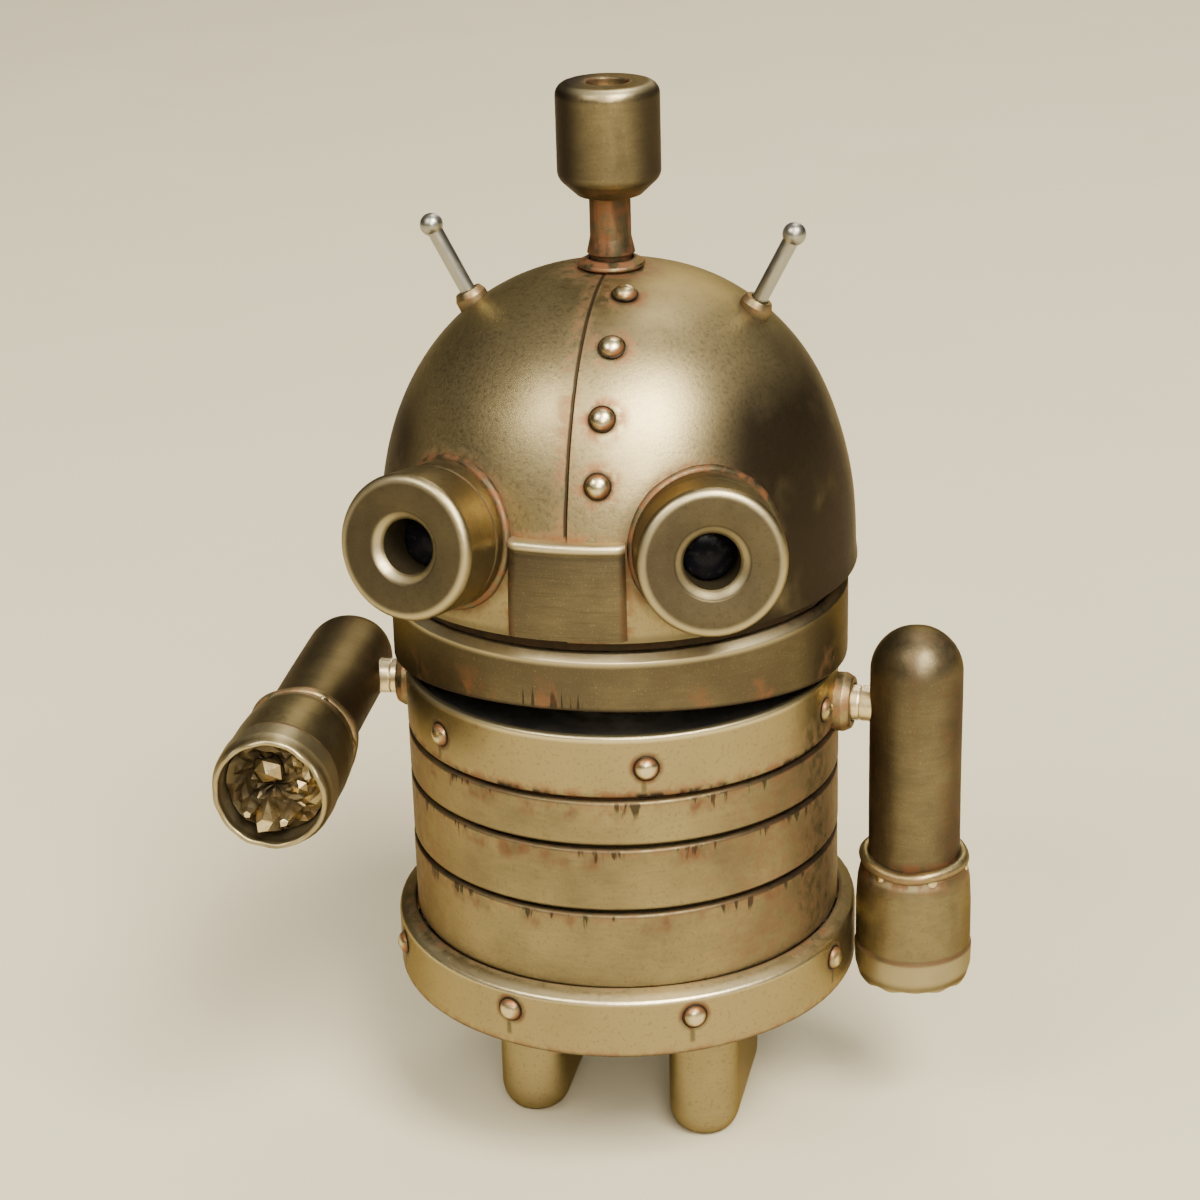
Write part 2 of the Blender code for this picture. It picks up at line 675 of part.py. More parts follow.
def make_eyes(skin, glass, head):
    filled = [(0, DOME_Z - 2), (DOME_R + 0.12, DOME_Z - 2)] + dome_points(0.12, 0.0, 14)
    for side, name in ((1, "l"), (-1, "r")):
        place = (side * EYE_X, EYE_Y, EYE_Z)
        turn = (90 - EYE_PITCH, 0, side * EYE_YAW)
        bore = [(0, -EYE_BORE_DEPTH), (EYE_BORE_R, -EYE_BORE_DEPTH), (EYE_BORE_R, -1.1), (3.5, -0.15)]
        rim = arc(EYE_R - 1.0, -1.0, 1.0, 90, 0, 3)
        outline = bore + rim + [(EYE_R, -EYE_DEPTH), (0, -EYE_DEPTH)]
        barrel = solid(f"eye_barrel_{name}", turned(outline, 24), skin, head, place, turn)
        tool = solid(f"dome_for_eye_{name}", turned(filled, ROUND_SIDES), None, head)
        boolean(barrel, tool)
        back = FIT + 0.05 - EYE_BORE_DEPTH
        edge = EYE_BORE_R - FIT
        lens = [(0, back), (edge, back), (edge, back + 0.8), (1.3, back + 1.3), (0, back + 1.4)]
        solid(f"eye_lens_{name}", turned(lens, 16), glass, head, place, turn)


def make_winder(skin, frame):
    stem = washer(STEM_BORE_R, STEM_R, STEM_LOW, STEM_HIGH, PIN_SIDES)
    solid("winding_stem", stem, skin, frame)
    socket = STEM_R + FIT
    knob = [(socket, KNOB_Z), (2.9, KNOB_Z), (4.3, KNOB_Z + 0.9), (KNOB_R, KNOB_Z + 2.6)]
    knob += arc(KNOB_R - 1.2, KNOB_TOP_Z - 1.2, 1.2, 0, 90, 4)
    knob += [(KNOB_RECESS_R, KNOB_TOP_Z), (KNOB_RECESS_R, KNOB_RECESS_Z), (KNOB_BORE_R, KNOB_RECESS_Z)]
    knob += [(KNOB_BORE_R, STEM_HIGH + GAP), (socket, STEM_HIGH + GAP)]
    solid("winding_knob", turned(knob, 24, True), skin, frame)
    seat = KNOB_RECESS_Z + 0.2
    screw = [(0, ARBOR_TOP + GAP), (0.9, ARBOR_TOP + GAP), (0.9, seat), (SCREW_R, seat)]
    screw += [(SCREW_R, seat + 0.8), (1.2, seat + 1.1), (0, seat + 1.1)]
    screw = solid("knob_screw", turned(screw, 16), skin, frame)
    slot = block((-3, -0.25, seat + 0.6), (3, 0.25, KNOB_TOP_Z + 1))
    boolean(screw, solid("screw_slot", slot, None, frame))


def make_arm(name, side, top_band, skin, steel, frame):
    """Everything hangs from the shoulder pin's centre, so turning the pivot raises the arm."""
    place = (side * SHOULDER_X, 0, SHOULDER_Z)
    raised = RIGHT_ARM_RAISED if side < 0 else 0.0
    shoulder = empty(f"shoulder_{name}", frame, place, (0, 0, -side * SHOULDER_TOE_IN))
    pivot = empty(f"arm_{name}_pivot", shoulder, (0, 0, 0), (-raised, 0, 0))
    along = (0, -90 * side, 0)  # local +Z of a turned piece points at the body

    reach = SHOULDER_X - BODY_R
    drill(top_band, f"shoulder_hole_{name}", shoulder, PIN_R + FIT, 4, 12, (0, 0, 0), along)
    outer_end = reach - 1.7
    seat = reach - 0.12
    bush = [(PIN_R + FIT, outer_end), (BUSH_R - 0.4, outer_end), (BUSH_R, outer_end + 0.4)]
    bush += [(BUSH_R, seat), (PIN_R + FIT, seat)]
    solid(f"shoulder_bush_{name}", turned(bush, 20, True), skin, shoulder, (0, 0, 0), along)

    head = reach + 2.2
    pin = [(0, 0.2), (PIN_R, 0.2), (PIN_R, head), (PIN_HEAD_R, head)]
    pin += [(PIN_HEAD_R, head + 1), (0, head + 1)]
    solid(f"shoulder_pin_{name}", turned(pin, PIN_SIDES), steel, pivot, (0, 0, 0), along)

    inner = ARM_R - ARM_WALL
    outline = arc(0, ARM_TOP, ARM_R, 90, 0, 5)
    outline += [(ARM_R, -WRIST - 1.4), (inner, -WRIST - 1.4)]
    outline += arc(0, ARM_TOP, inner, 0, 90, 3)
    arm = solid(f"upper_arm_{name}", turned(outline, 20), skin, pivot)
    drill(arm, f"arm_hole_{name}", pivot, PIN_R + 0.1, 2, 6, (0, 0, 0), along)

    cuff = [
        (ARM_R + FIT, -WRIST),
        (5.2, -WRIST),
        (5.4, -WRIST - 0.4),
        (5.45, -WRIST - 2.4),
        (HAND_R, -WRIST - 6.0),
        (HAND_R, -HAND_END + 4.2),
        (HAND_R - 0.25, -HAND_END + 1.4),
        (HAND_R - 0.7, -HAND_END),
        (HAND_R - 1.3, -HAND_END),
        (HAND_R - 1.3, -WRIST - 2.6),
        (ARM_R + FIT, -WRIST - 2.2),
    ]
    solid(f"hand_cuff_{name}", turned(cuff, 20, True), skin, pivot)
    make_claw(name, skin, pivot)


def make_claw(name, skin, pivot):
    """Three short fingers and a thumb stump on a plug inside the cuff."""
    plug_r = HAND_R - 1.3 - FIT
    face = -HAND_END + 2.6
    plug = [(0, -WRIST - 4), (plug_r, -WRIST - 4), (plug_r, face), (0, face)]
    claw = solid(f"claw_{name}", turned(plug, 18), skin, pivot)
    length = CLAW_END - HAND_END + 3.2
    for i in range(3):
        finger = turned([(0, 0), (1.25, 0), (1.05, -length + 1.0), (0.3, -length), (0, -length)], 6)
        angle = math.radians(90 + 120 * i)
        place = (2.9 * math.cos(angle), 2.9 * math.sin(angle), face + 0.6)
        boolean(claw, solid(f"finger_{name}_{i + 1}", finger, None, pivot, place), "UNION")
    stump = turned([(0, 0), (1.3, 0), (0.9, -1.7), (0, -2.2)], 7)
    boolean(claw, solid(f"thumb_{name}", stump, None, pivot, (0.3, -0.2, face + 0.4)), "UNION")


def build():
    clear_scene()
    gold = material("antique_gold_paint", (0.46, 0.36, 0.19), 0.38)
    silver = material("bright_steel", (0.72, 0.7, 0.66), 0.25)
    steel = material("plain_steel", (0.35, 0.33, 0.3), 0.45)
    blued = material("blued_spring_steel", (0.09, 0.11, 0.17), 0.3)
    brass = material("clock_brass", (0.7, 0.52, 0.22), 0.3)
    glass = material("dark_lens_glass", (0.01, 0.01, 0.012), 0.08, 0.0)

    frame = empty("robot_frame", location=(0, AXIS_BEHIND_ORIGIN, 0))
    head = empty("head_pivot", frame)
    rings = make_body_rings(gold, frame)
    make_base(gold, steel, frame)
    make_legs(gold, steel, frame)
    make_axle(steel, frame)
    make_movement(brass, steel, frame)
    make_train(brass, steel, blued, frame)
    make_neck(steel, frame)
    make_head(gold, steel, silver, head)
    make_eyes(gold, glass, head)
    make_winder(gold, frame)
    for name, side in (("l", 1), ("r", -1)):
        make_arm(name, side, rings["top_band"], gold, silver, frame)


build()
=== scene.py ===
# %% [markdown]
# # A tin wind-up robot in antique gold
#
# The real toy is a little walking robot of pressed tin: four stacked body rings, a domed head with two eye
# tubes, two arms on pins and two feet. It was sprayed with a gold metallic paint, and then a dark brown wash
# was brushed over it and wiped off, so that the brown stays in every groove and round every rivet.
#
# This lesson builds the looks round a mechanical model that is already made. That model is the frame: it
# fixes every size and every joint. We load it first, because each piece below takes its place from it.

# %% Load the frame
import json
import math
import random

import bmesh
import bpy
from mathutils import Matrix, Vector


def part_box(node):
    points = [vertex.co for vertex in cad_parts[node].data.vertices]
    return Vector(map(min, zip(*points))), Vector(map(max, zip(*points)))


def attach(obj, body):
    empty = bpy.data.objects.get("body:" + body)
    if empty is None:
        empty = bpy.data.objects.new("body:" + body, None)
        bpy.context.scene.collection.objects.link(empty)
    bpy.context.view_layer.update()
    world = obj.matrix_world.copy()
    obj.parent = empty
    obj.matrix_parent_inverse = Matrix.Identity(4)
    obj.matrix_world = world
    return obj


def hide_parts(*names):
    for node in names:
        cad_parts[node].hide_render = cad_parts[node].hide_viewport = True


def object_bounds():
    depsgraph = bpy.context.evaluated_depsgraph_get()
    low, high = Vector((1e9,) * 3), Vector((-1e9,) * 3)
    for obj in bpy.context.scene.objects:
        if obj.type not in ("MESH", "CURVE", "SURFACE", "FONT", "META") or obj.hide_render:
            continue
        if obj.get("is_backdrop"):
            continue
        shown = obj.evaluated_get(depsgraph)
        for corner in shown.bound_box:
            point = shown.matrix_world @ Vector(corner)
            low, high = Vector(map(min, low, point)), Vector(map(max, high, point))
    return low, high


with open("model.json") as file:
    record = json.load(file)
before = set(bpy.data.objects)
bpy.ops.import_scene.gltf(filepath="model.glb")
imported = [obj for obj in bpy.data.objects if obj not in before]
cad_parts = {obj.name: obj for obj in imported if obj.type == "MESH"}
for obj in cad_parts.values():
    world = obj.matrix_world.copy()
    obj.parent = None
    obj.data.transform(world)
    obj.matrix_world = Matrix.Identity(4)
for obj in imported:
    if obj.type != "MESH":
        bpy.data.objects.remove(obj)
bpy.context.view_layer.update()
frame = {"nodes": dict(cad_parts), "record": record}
MM = 0.001

# %% [markdown]
# ## Sizes read from the frame
#
# The body is a stack of turned rings, so almost everything is a radius and a height round one upright axis.
# We could type those numbers again, but then they might drift from the mechanics. Instead we read the boxes
# of the frame's own nodes. The axis stands a little behind the middle of the feet.


# %% Read the driving sizes
def box_mm(node):
    """The lowest and highest corner of one node of the frame, in millimetres."""
    low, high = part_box(node)
    return low / MM, high / MM


def half_width(node):
    low, high = box_mm(node)
    return (high.x - low.x) / 2


hoop_low, hoop_high = box_mm("upper_hoop")
AXIS_Y = (hoop_low.y + hoop_high.y) / 2
BODY_R = half_width("upper_hoop")
WALL = 0.8
GROOVE = 0.4
BASE_LOW, BASE_TOP = (corner.z for corner in box_mm("base_band"))
LOWER_TOP = box_mm("lower_hoop")[1].z
MIDDLE_TOP = box_mm("middle_hoop")[1].z
UPPER_TOP = hoop_high.z
BAND_TOP = box_mm("top_band")[1].z
JAW_LOW, JAW_TOP = (corner.z for corner in box_mm("jaw_ring"))
JAW_R = half_width("jaw_ring")
DOME_LOW, DOME_TOP = (corner.z for corner in box_mm("head_dome"))
DOME_R = half_width("head_dome")
print("body radius", round(BODY_R, 2), "dome radius", round(DOME_R, 2), "axis y", round(AXIS_Y, 2))

# %% [markdown]
# ## A camera for the portrait view
#
# A camera is a point, a direction and a lens. We place it by the direction it looks along: a little from the
# robot's left and from above. It is held very slightly out of level, which we add as a small roll. A long
# lens keeps the robot's proportions true.

# %% Place the camera
camera_data = bpy.data.cameras.new("portrait_camera")
camera = bpy.data.objects.new("portrait_camera", camera_data)
bpy.context.scene.collection.objects.link(camera)
bpy.context.scene.camera = camera

target = Vector((-1.98, 3.26, 55.99)) * MM
azimuth, elevation, roll = (math.radians(angle) for angle in (12.4, 21.64, -1.63))
distance = 290 * MM
back = Vector((math.sin(azimuth), -math.cos(azimuth), math.tan(elevation))).normalized()
aim = (-back).to_track_quat("-Z", "Y").to_matrix().to_4x4()
turn_level = Matrix.Rotation(roll, 4, "Z")
camera.matrix_world = Matrix.Translation(target + back * distance) @ aim @ turn_level
camera_data.sensor_width = 36
camera_data.lens = 86.1
camera_data.clip_start = 0.01
print("camera at", [round(value, 3) for value in camera.matrix_world.translation])

# %% [markdown]
# ## Shader maths as plain Python
#
# A procedural material is a small calculation done at each point of a surface: where am I, how far is the
# nearest groove, how much dirt is here? Blender draws that as a web of Math nodes. Wiring dozens of them by
# hand hides the idea, so one small class wraps a socket and lets Python's operators add the Math nodes.


# %% Wrap a socket
class Flow:
    """A socket that gives a number or a vector. Python's operators on it add Math nodes."""

    def __init__(self, finish, socket):
        self.finish = finish
        self.socket = socket

    def __add__(self, other):
        return self.finish.maths("ADD", self, other)

    def __radd__(self, other):
        return self.finish.maths("ADD", other, self)

    def __sub__(self, other):
        return self.finish.maths("SUBTRACT", self, other)

    def __rsub__(self, other):
        return self.finish.maths("SUBTRACT", other, self)

    def __mul__(self, other):
        return self.finish.maths("MULTIPLY", self, other)

    def __rmul__(self, other):
        return self.finish.maths("MULTIPLY", other, self)

    def __pow__(self, other):
        return self.finish.maths("POWER", self, other)

    def __abs__(self):
        return self.finish.maths("ABSOLUTE", self)


print("sockets add, subtract, multiply and take powers")

# %% [markdown]
# ## One way to add every other node
#
# Noise, mixes and vector maths all go through one method, `node`. It takes the node's type, its
# settings, and then the values or links of its sockets. The few short helpers after it only name what the
# robot's finishes use again and again: a soft threshold, a noise, a colour mix.


# %% A finish and its nodes
class Finish:
    """A material whose nodes are added one by one from Python."""

    def __init__(self, name, **fixed):
        self.material = bpy.data.materials.new(name)
        self.material.use_nodes = True
        self.tree = self.material.node_tree
        self.shader = self.tree.nodes["Principled BSDF"]
        for socket, value in fixed.items():
            self.shader.inputs[socket.replace("_", " ")].default_value = value

    def node(self, kind, settings=None, sockets=None, out=0):
        made = self.tree.nodes.new(kind)
        for setting, value in (settings or {}).items():
            setattr(made, setting, value)
        for socket, value in (sockets or {}).items():
            self.plug(made.inputs[socket], value)
        return Flow(self, made.outputs[out])

    def plug(self, socket, value):
        if isinstance(value, Flow):
            self.tree.links.new(value.socket, socket)
        elif isinstance(value, (tuple, Vector)) and len(socket.default_value) > len(value):
            socket.default_value = (*value, 1.0)
        else:
            socket.default_value = value

    def shade(self, **links):
        for socket, value in links.items():
            self.plug(self.shader.inputs[socket.replace("_", " ")], value)

    def maths(self, operation, *values):
        return self.node("ShaderNodeMath", {"operation": operation}, dict(enumerate(values)))

    def vectors(self, operation, *values, out=0):
        return self.node("ShaderNodeVectorMath", {"operation": operation}, dict(enumerate(values)), out)

    def soft(self, value, low, high):
        """0 at low, 1 at high, and a smooth step between. Low may be the larger of the two."""
        sockets = {0: value, 1: float(low), 2: float(high)}
        return self.node("ShaderNodeMapRange", {"interpolation_type": "SMOOTHSTEP"}, sockets)

    def noise(self, where, scale, detail=2.0):
        return self.node("ShaderNodeTexNoise", {}, {"Vector": where, "Scale": scale, "Detail": detail})

    def mix(self, share, first, second):
        settings = {"data_type": "RGBA"}
        return self.node("ShaderNodeMix", settings, {0: share, 6: first, 7: second}, 2)

    def most(self, *values):
        """The largest of several masks, or 0 if there are none."""
        found = values[0] if values else 0.0
        for value in values[1:]:
            found = self.maths("MAXIMUM", found, value)
        return found

    def relief(self, height, depth_mm):
        """A bump that is this deep where the height runs from 0 to 1."""
        sockets = {"Strength": 1.0, "Distance": depth_mm * MM, "Height": height}
        self.shade(Normal=self.node("ShaderNodeBump", {}, sockets))


print("a finish adds its nodes through one method")

# %% [markdown]
# ## Where am I on the robot?
#
# Every mask starts from the point's own place on its piece. The Object output of Texture Coordinate gives
# that place in the piece's local metres, so we scale it to millimetres once. For turned pieces two more
# numbers help: the distance from the axis, and the angle round it, measured from the front.


# %% Places on a turned piece
class Spot:
    """The place of a shaded point in millimetres, on a piece whose own Z is its axis."""

    def __init__(self, finish):
        self.finish = finish
        place = finish.node("ShaderNodeTexCoord", {}, {}, "Object")
        self.place = finish.vectors("MULTIPLY", place, Vector((1, 1, 1)) / MM)
        axes = (finish.node("ShaderNodeSeparateXYZ", {}, {0: self.place}, i) for i in range(3))
        self.x, self.y, self.z = axes
        self.radius = finish.maths("SQRT", self.x * self.x + self.y * self.y)
        self.angle = finish.maths("ARCTAN2", self.x, 0.0 - self.y)

    def stretched(self, x, y, z):
        return self.finish.vectors("MULTIPLY", self.place, Vector((x, y, z)))

    def distance_to(self, point):
        return self.finish.vectors("DISTANCE", self.place, Vector(point), out="Value")


print("each finish can ask for place, radius and angle in mm")

# %% [markdown]
# ## How dirt settles
#
# The brown wash was wiped off while it was wet. It stayed as a line in each groove, ran down from the groove
# in short thin drips, and dried as a ring round each rivet with one small run below it. So each of these is
# a function that gives a mask, and every gold piece picks the ones that fit its shape.


# %% Masks for the wash
def line_at(spot, height, width):
    """A line of wash round the piece at one height."""
    return spot.finish.soft(abs(spot.z - height), width, width * 0.25)


def drips_from(spot, height, reach, seed):
    """Short upright runs below a groove, in loose clusters."""
    finish = spot.finish
    strokes = finish.noise(spot.stretched(1.0, 1.0, 0.15), 1.3 + 0.17 * seed, 2.0)
    clusters = finish.noise(spot.stretched(1.0, 1.0, 0.02), 0.15 + 0.021 * seed, 0.0)
    length = finish.soft(strokes, 0.46, 0.72) * finish.soft(clusters, 0.44, 0.60) * reach
    below = height - spot.z
    return finish.soft(below - length, 0.25, -0.75) * finish.soft(below, -0.3, 0.0)


def rings_round(spot, count, first, height, radius, size):
    """A ring of wash round each rivet of a band, with one run below each."""
    finish = spot.finish
    pitch = math.tau / count
    offset = finish.maths("WRAP", spot.angle - math.radians(first), pitch / 2, -pitch / 2) * radius
    rise = spot.z - height
    apart = finish.maths("SQRT", offset * offset + rise * rise)
    run = finish.soft(abs(offset + 0.25), 0.42, 0.1) * finish.soft(abs(rise + 1.9), 1.2, 0.7)
    return finish.soft(apart, size + 0.75, size + 0.15), run


def ring_about(spot, point, size, spread=0.8):
    return spot.finish.soft(spot.distance_to(point), size + spread, size)


print("masks: line_at, drips_from, rings_round, ring_about")

# %% [markdown]
# ## The antique gold paint
#
# Close up, the paint is a warm metallic gold that is not even: broad cloudy patches of olive and of pale
# gold, a fine grain from the spray, and rubbing marks that run round the piece. The clean paint is fully
# metallic, so that the studio light makes the highlights. The wash turns it brown and a little rougher, and
# takes away part of the metal. A warm specular tint keeps the reflections at the outline from going white.
# `wash_and_shade` is a function that gives two masks for a piece: dark brown and a thinner red-brown. On
# some pieces these masks also hold painted shade, and `painted_highlight` paints pale gold where a highlight
# falls.

# %% Colours of the finish
PALE_GOLD = (0.34, 0.27, 0.135)
DEEP_GOLD = (0.095, 0.075, 0.045)
# Pale gold for the spray's flecks, and for painted highlights on edges and rims.
PALE_FLECK_AND_HIGHLIGHT_GOLD = (0.68, 0.58, 0.35)
RED_BROWN = (0.22, 0.085, 0.036)
DARK_BROWN = (0.012, 0.008, 0.005)


def no_wash(spot):
    return 0.0, 0.0


def gold_paint(name, wash_and_shade=no_wash, bright=0.5, seed=0.0, painted_highlight=0.0, rough=0.38):
    """Antique gold. Bright runs from 0, deep and olive, to 1, pale. The painted highlight is a mask or 0."""
    finish = Finish(name, Specular_Tint=(0.5, 0.43, 0.33, 1.0))
    spot = Spot(finish)
    moved = finish.vectors("ADD", spot.place, Vector((seed * 17, seed * 5, seed * 11)))
    clouds = finish.noise(moved, 0.11, 3.0)
    grain = finish.noise(moved, 2.6, 3.0)
    streaks = finish.noise(spot.stretched(0.5, 0.5, 2.6), 1.0, 3.0)
    flecks = finish.noise(moved, 6.5, 1.0)
    # Dark brown and red-brown masks: the wash, and on some pieces painted shade.
    dark, red = wash_and_shade(spot)
    patchy = finish.noise(moved, 0.8, 3.0)
    red = red * finish.soft(patchy, 0.36, 0.6)
    share = finish.soft(clouds * 0.9 + streaks * 0.2, 0.55 - bright, 1.55 - bright)
    colour = finish.mix(share, DEEP_GOLD, PALE_GOLD)
    colour = finish.mix(finish.soft(flecks, 0.62, 0.74) * 0.1, colour, PALE_FLECK_AND_HIGHLIGHT_GOLD)
    colour = finish.mix(finish.soft(grain, 0.46, 0.32) * 0.25, colour, DEEP_GOLD)
    # Painted highlight: pale gold where light catches an edge or a rim.
    if painted_highlight:
        colour = finish.mix(painted_highlight(spot) * 0.85, colour, PALE_FLECK_AND_HIGHLIGHT_GOLD)
    colour = finish.mix(red * 0.88, colour, RED_BROWN)
    colour = finish.mix(dark, colour, DARK_BROWN)
    finish.shade(Base_Color=colour, Metallic=1.0 - dark * 0.3 - red * 0.3)
    finish.shade(Roughness=rough + 0.06 * (1 - share) + (grain - 0.5) * 0.14 + red * 0.16 + dark * 0.05)
    finish.relief(grain * 0.5 + streaks * 0.12 + flecks * 0.25 + dark * 0.3, 0.026)
    return finish.material


print("gold paint is ready for the turned pieces")

# %% [markdown]
# ## Turning sheet metal
#
# Tin toys are spun and pressed, so most shapes are a profile turned round an axis. Blender's Screw modifier
# could do it, but a few lines of mesh code let us warp the profile as it goes round, which the open mouth
# and the slightly uneven hoops need. Real sheet has no razor edges: `rounded` gives each corner an arc.


# %% Profiles and turned meshes
def rounded(corners, closed=False, steps=4):
    """A profile of (r, z) or (r, z, radius) corners, where each radius rounds its corner."""
    points = []
    for i, corner in enumerate(corners):
        here = Vector(corner[:2])
        if len(corner) == 2 or (not closed and i in (0, len(corners) - 1)):
            points.append(tuple(here))
            continue
        before = Vector(corners[i - 1][:2]) - here
        after = Vector(corners[(i + 1) % len(corners)][:2]) - here
        half = before.angle(after) / 2
        reach = min(corner[2] / math.tan(half), 0.48 * before.length, 0.48 * after.length)
        radius = reach * math.tan(half)
        inward = (before.normalized() + after.normalized()).normalized()
        middle = here + inward * radius / math.sin(half)
        start = here + before.normalized() * reach - middle
        end = here + after.normalized() * reach - middle
        for step in range(steps + 1):
            points.append(tuple(middle + start.lerp(end, step / steps).normalized() * radius))
    return points


def arc(centre_r, centre_z, radius, start, end, steps):
    """Points along an arc of a profile, in degrees from the +r direction."""
    angles = [math.radians(start + (end - start) * i / steps) for i in range(steps + 1)]
    return [(centre_r + radius * math.cos(a), centre_z + radius * math.sin(a)) for a in angles]


def even_turns(sides):
    return [math.tau * i / sides for i in range(sides)]


def lathe(outline, turns=even_turns(96), closed=False, warp=None):
    """A mesh turned about Z. Turn 0 faces the front, and warp(turn, r, z) may move each point."""
    bm = bmesh.new()
    poles = {}
    columns = []
    for turn in turns:
        column = []
        for row, (r, z) in enumerate(outline):
            if r < 1e-6:
                if row not in poles:
                    poles[row] = bm.verts.new((0, 0, z * MM))
                column.append(poles[row])
                continue
            if warp:
                r, z = warp(turn, r, z)
            column.append(bm.verts.new(Vector((r * math.sin(turn), -r * math.cos(turn), z)) * MM))
        columns.append(column)
    rows = range(len(outline) if closed else len(outline) - 1)
    for first, second in zip(columns, columns[1:] + columns[:1]):
        for a in rows:
            b = (a + 1) % len(outline)
            corners = list(dict.fromkeys((first[a], second[a], second[b], first[b])))
            if len(corners) > 2:
                bm.faces.new(corners)
    bmesh.ops.recalc_face_normals(bm, faces=bm.faces)
    return bm


print("lathe makes", len(even_turns(96)), "columns unless told otherwise")

# %% [markdown]
# ## From mesh to piece
#
# A piece needs more than a mesh: it must sit in place, ride on the right moving body, hide the plain nodes
# of the frame that it stands for, and carry its finish. One function does all four, so none is forgotten.
# Weighted normals keep broad faces flat beside their small rounded edges.

# %% Make a piece
AT_AXIS = Matrix.Translation((0, AXIS_Y * MM, 0))
made_pieces = []


def piece(name, bm, material, body, nodes=(), place=AT_AXIS, faceted=False):
    mesh = bpy.data.meshes.new(name)
    bm.to_mesh(mesh)
    bm.free()
    mesh.materials.append(material)
    made = bpy.data.objects.new(name, mesh)
    bpy.context.scene.collection.objects.link(made)
    made.matrix_world = place
    if not faceted:
        mesh.shade_smooth()
        mesh.set_sharp_from_angle(angle=math.radians(50))
        normals = made.modifiers.new("even_normals", "WEIGHTED_NORMAL")
        normals.keep_sharp = True
    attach(made, body)
    if nodes:
        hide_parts(*nodes)
    made_pieces.append(name)
    return made


def set_at(x, y, z, turn=0.0, lean=0.0, tilt=0.0):
    """A place in the body's own millimetres, leaned about X, tilted about Y, then turned about Z."""
    spin = Matrix.Rotation(turn, 4, "Z") @ Matrix.Rotation(tilt, 4, "Y") @ Matrix.Rotation(lean, 4, "X")
    return AT_AXIS @ Matrix.Translation(Vector((x, y, z)) * MM) @ spin


# %% [markdown]
# ## The body hoops
#
# Three plain hoops are stacked with a narrow groove between each pair. Each hoop's lower lip nests in the
# one below, so a dark line shows in the groove. The hoops were rolled by hand tools and are never perfectly
# round: a few hundredths of a millimetre of waviness is enough to make the reflections lively.


# %% Turn the hoops
def hoop_outline(low, high, edge=0.45):
    lip_r = BODY_R - WALL - 0.25
    return rounded([
        (BODY_R, low, edge), (BODY_R, high, edge), (BODY_R - WALL, high, 0.2), (BODY_R - WALL, low + WALL),
        (lip_r - 0.65, low + WALL), (lip_r - 0.65, low - 1.2), (lip_r, low - 1.2), (lip_r, low),
    ], closed=True)


def uneven(seed, size=0.035):
    """A warp that makes a ring slightly out of round."""
    def warp(turn, r, z):
        wave = math.sin(3 * turn + seed) + 0.6 * math.sin(5 * turn - 2 * seed + z * 0.3)
        return r + size * wave, z
    return warp


def hoop_wash_and_shade(low, high, seed):
    def wash_and_shade(spot):
        finish = spot.finish
        lines = finish.most(line_at(spot, high, 0.5), line_at(spot, low, 0.5))
        # Painted shade: towards both sides the groove lines grow heavier, and the hoop is darkened and
        # reddened.
        side = finish.soft(abs(spot.x + 1.5), 10, 22)
        shade = finish.soft(spot.x, 9, 20) * 0.45 + finish.soft(spot.x, -11, -21) * 0.5
        lines = lines * (0.55 + 0.4 * side)
        dark = finish.most(lines, drips_from(spot, high - 0.2, 1.7, seed) * 0.85, shade * 0.6)
        blotch = finish.soft(finish.noise(spot.stretched(1, 1, 0.5), 0.3 + 0.05 * seed, 3.0), 0.42, 0.72)
        smudge = blotch * finish.soft(abs(spot.z - high + 0.9), 1.7, 0.2)
        red = finish.soft(abs(spot.z - high), 1.2, 0.4) * (0.5 + 0.5 * side)
        return finish.most(dark, smudge * 0.45), finish.most(red * 0.8, shade, smudge)
    return wash_and_shade


hoops = {
    "lower_hoop": (BASE_TOP - 0.5, LOWER_TOP),
    "middle_hoop": (LOWER_TOP + GROOVE, MIDDLE_TOP),
    "upper_hoop": (MIDDLE_TOP + GROOVE, UPPER_TOP),
}
for seed, (name, (low, high)) in enumerate(hoops.items(), 1):
    paint = gold_paint(name + "_paint", hoop_wash_and_shade(low, high, seed), 0.6, seed)
    shape = lathe(hoop_outline(low, high), closed=True, warp=uneven(seed))
    piece(name + "_tin", shape, paint, "body", [name])
print("hoops:", ", ".join(hoops))

# %% [markdown]
# ## Rivets
#
# The rivets are cast in tin and look like small buttons with a short run of wash under them. A flattened
# dome on a thin flange catches one bright point of light each. They are separate pieces on the bands, as on
# the real toy.

# %% A rivet and a row of rivets
RIVET_R = 1.15
RIVET_H = 0.8


def rivet_shape(size=1.0, shank=0.5):
    button = [(r * RIVET_R * size, z * RIVET_H * size) for r, z in arc(0, 0, 1, 4, 90, 8)]
    flange = [(0, -shank), (0.8 * size, -shank), (1.27 * size, -0.1), (1.3 * size, 0.06), (1.19 * size, 0.12)]
    button[-1] = (0, button[-1][1])
    return lathe(flange + button, even_turns(28))


def rivet_wash(spot):
    return spot.finish.soft(spot.radius, 1.02, 1.24), spot.finish.soft(spot.radius, 0.5, 1.0)


# Painted highlight: the middle of each rivet head is painted pale gold.
def rivet_highlight(spot):
    return spot.finish.soft(spot.radius, 1.0, 0.55)


rivet_paint = gold_paint("rivet_paint", rivet_wash, 1.0, painted_highlight=rivet_highlight, rough=0.3)


def rivet_row(name, count, first, height, radius):
    for i in range(count):
        turn = math.radians(first + 360 / count * i)
        seat = set_at(radius * math.sin(turn), -radius * math.cos(turn), height, turn, math.radians(90))
        piece(f"{name}_rivet_{i + 1}", rivet_shape(), rivet_paint, "body", place=seat)


print("rivet head", 2 * RIVET_R, "mm across")

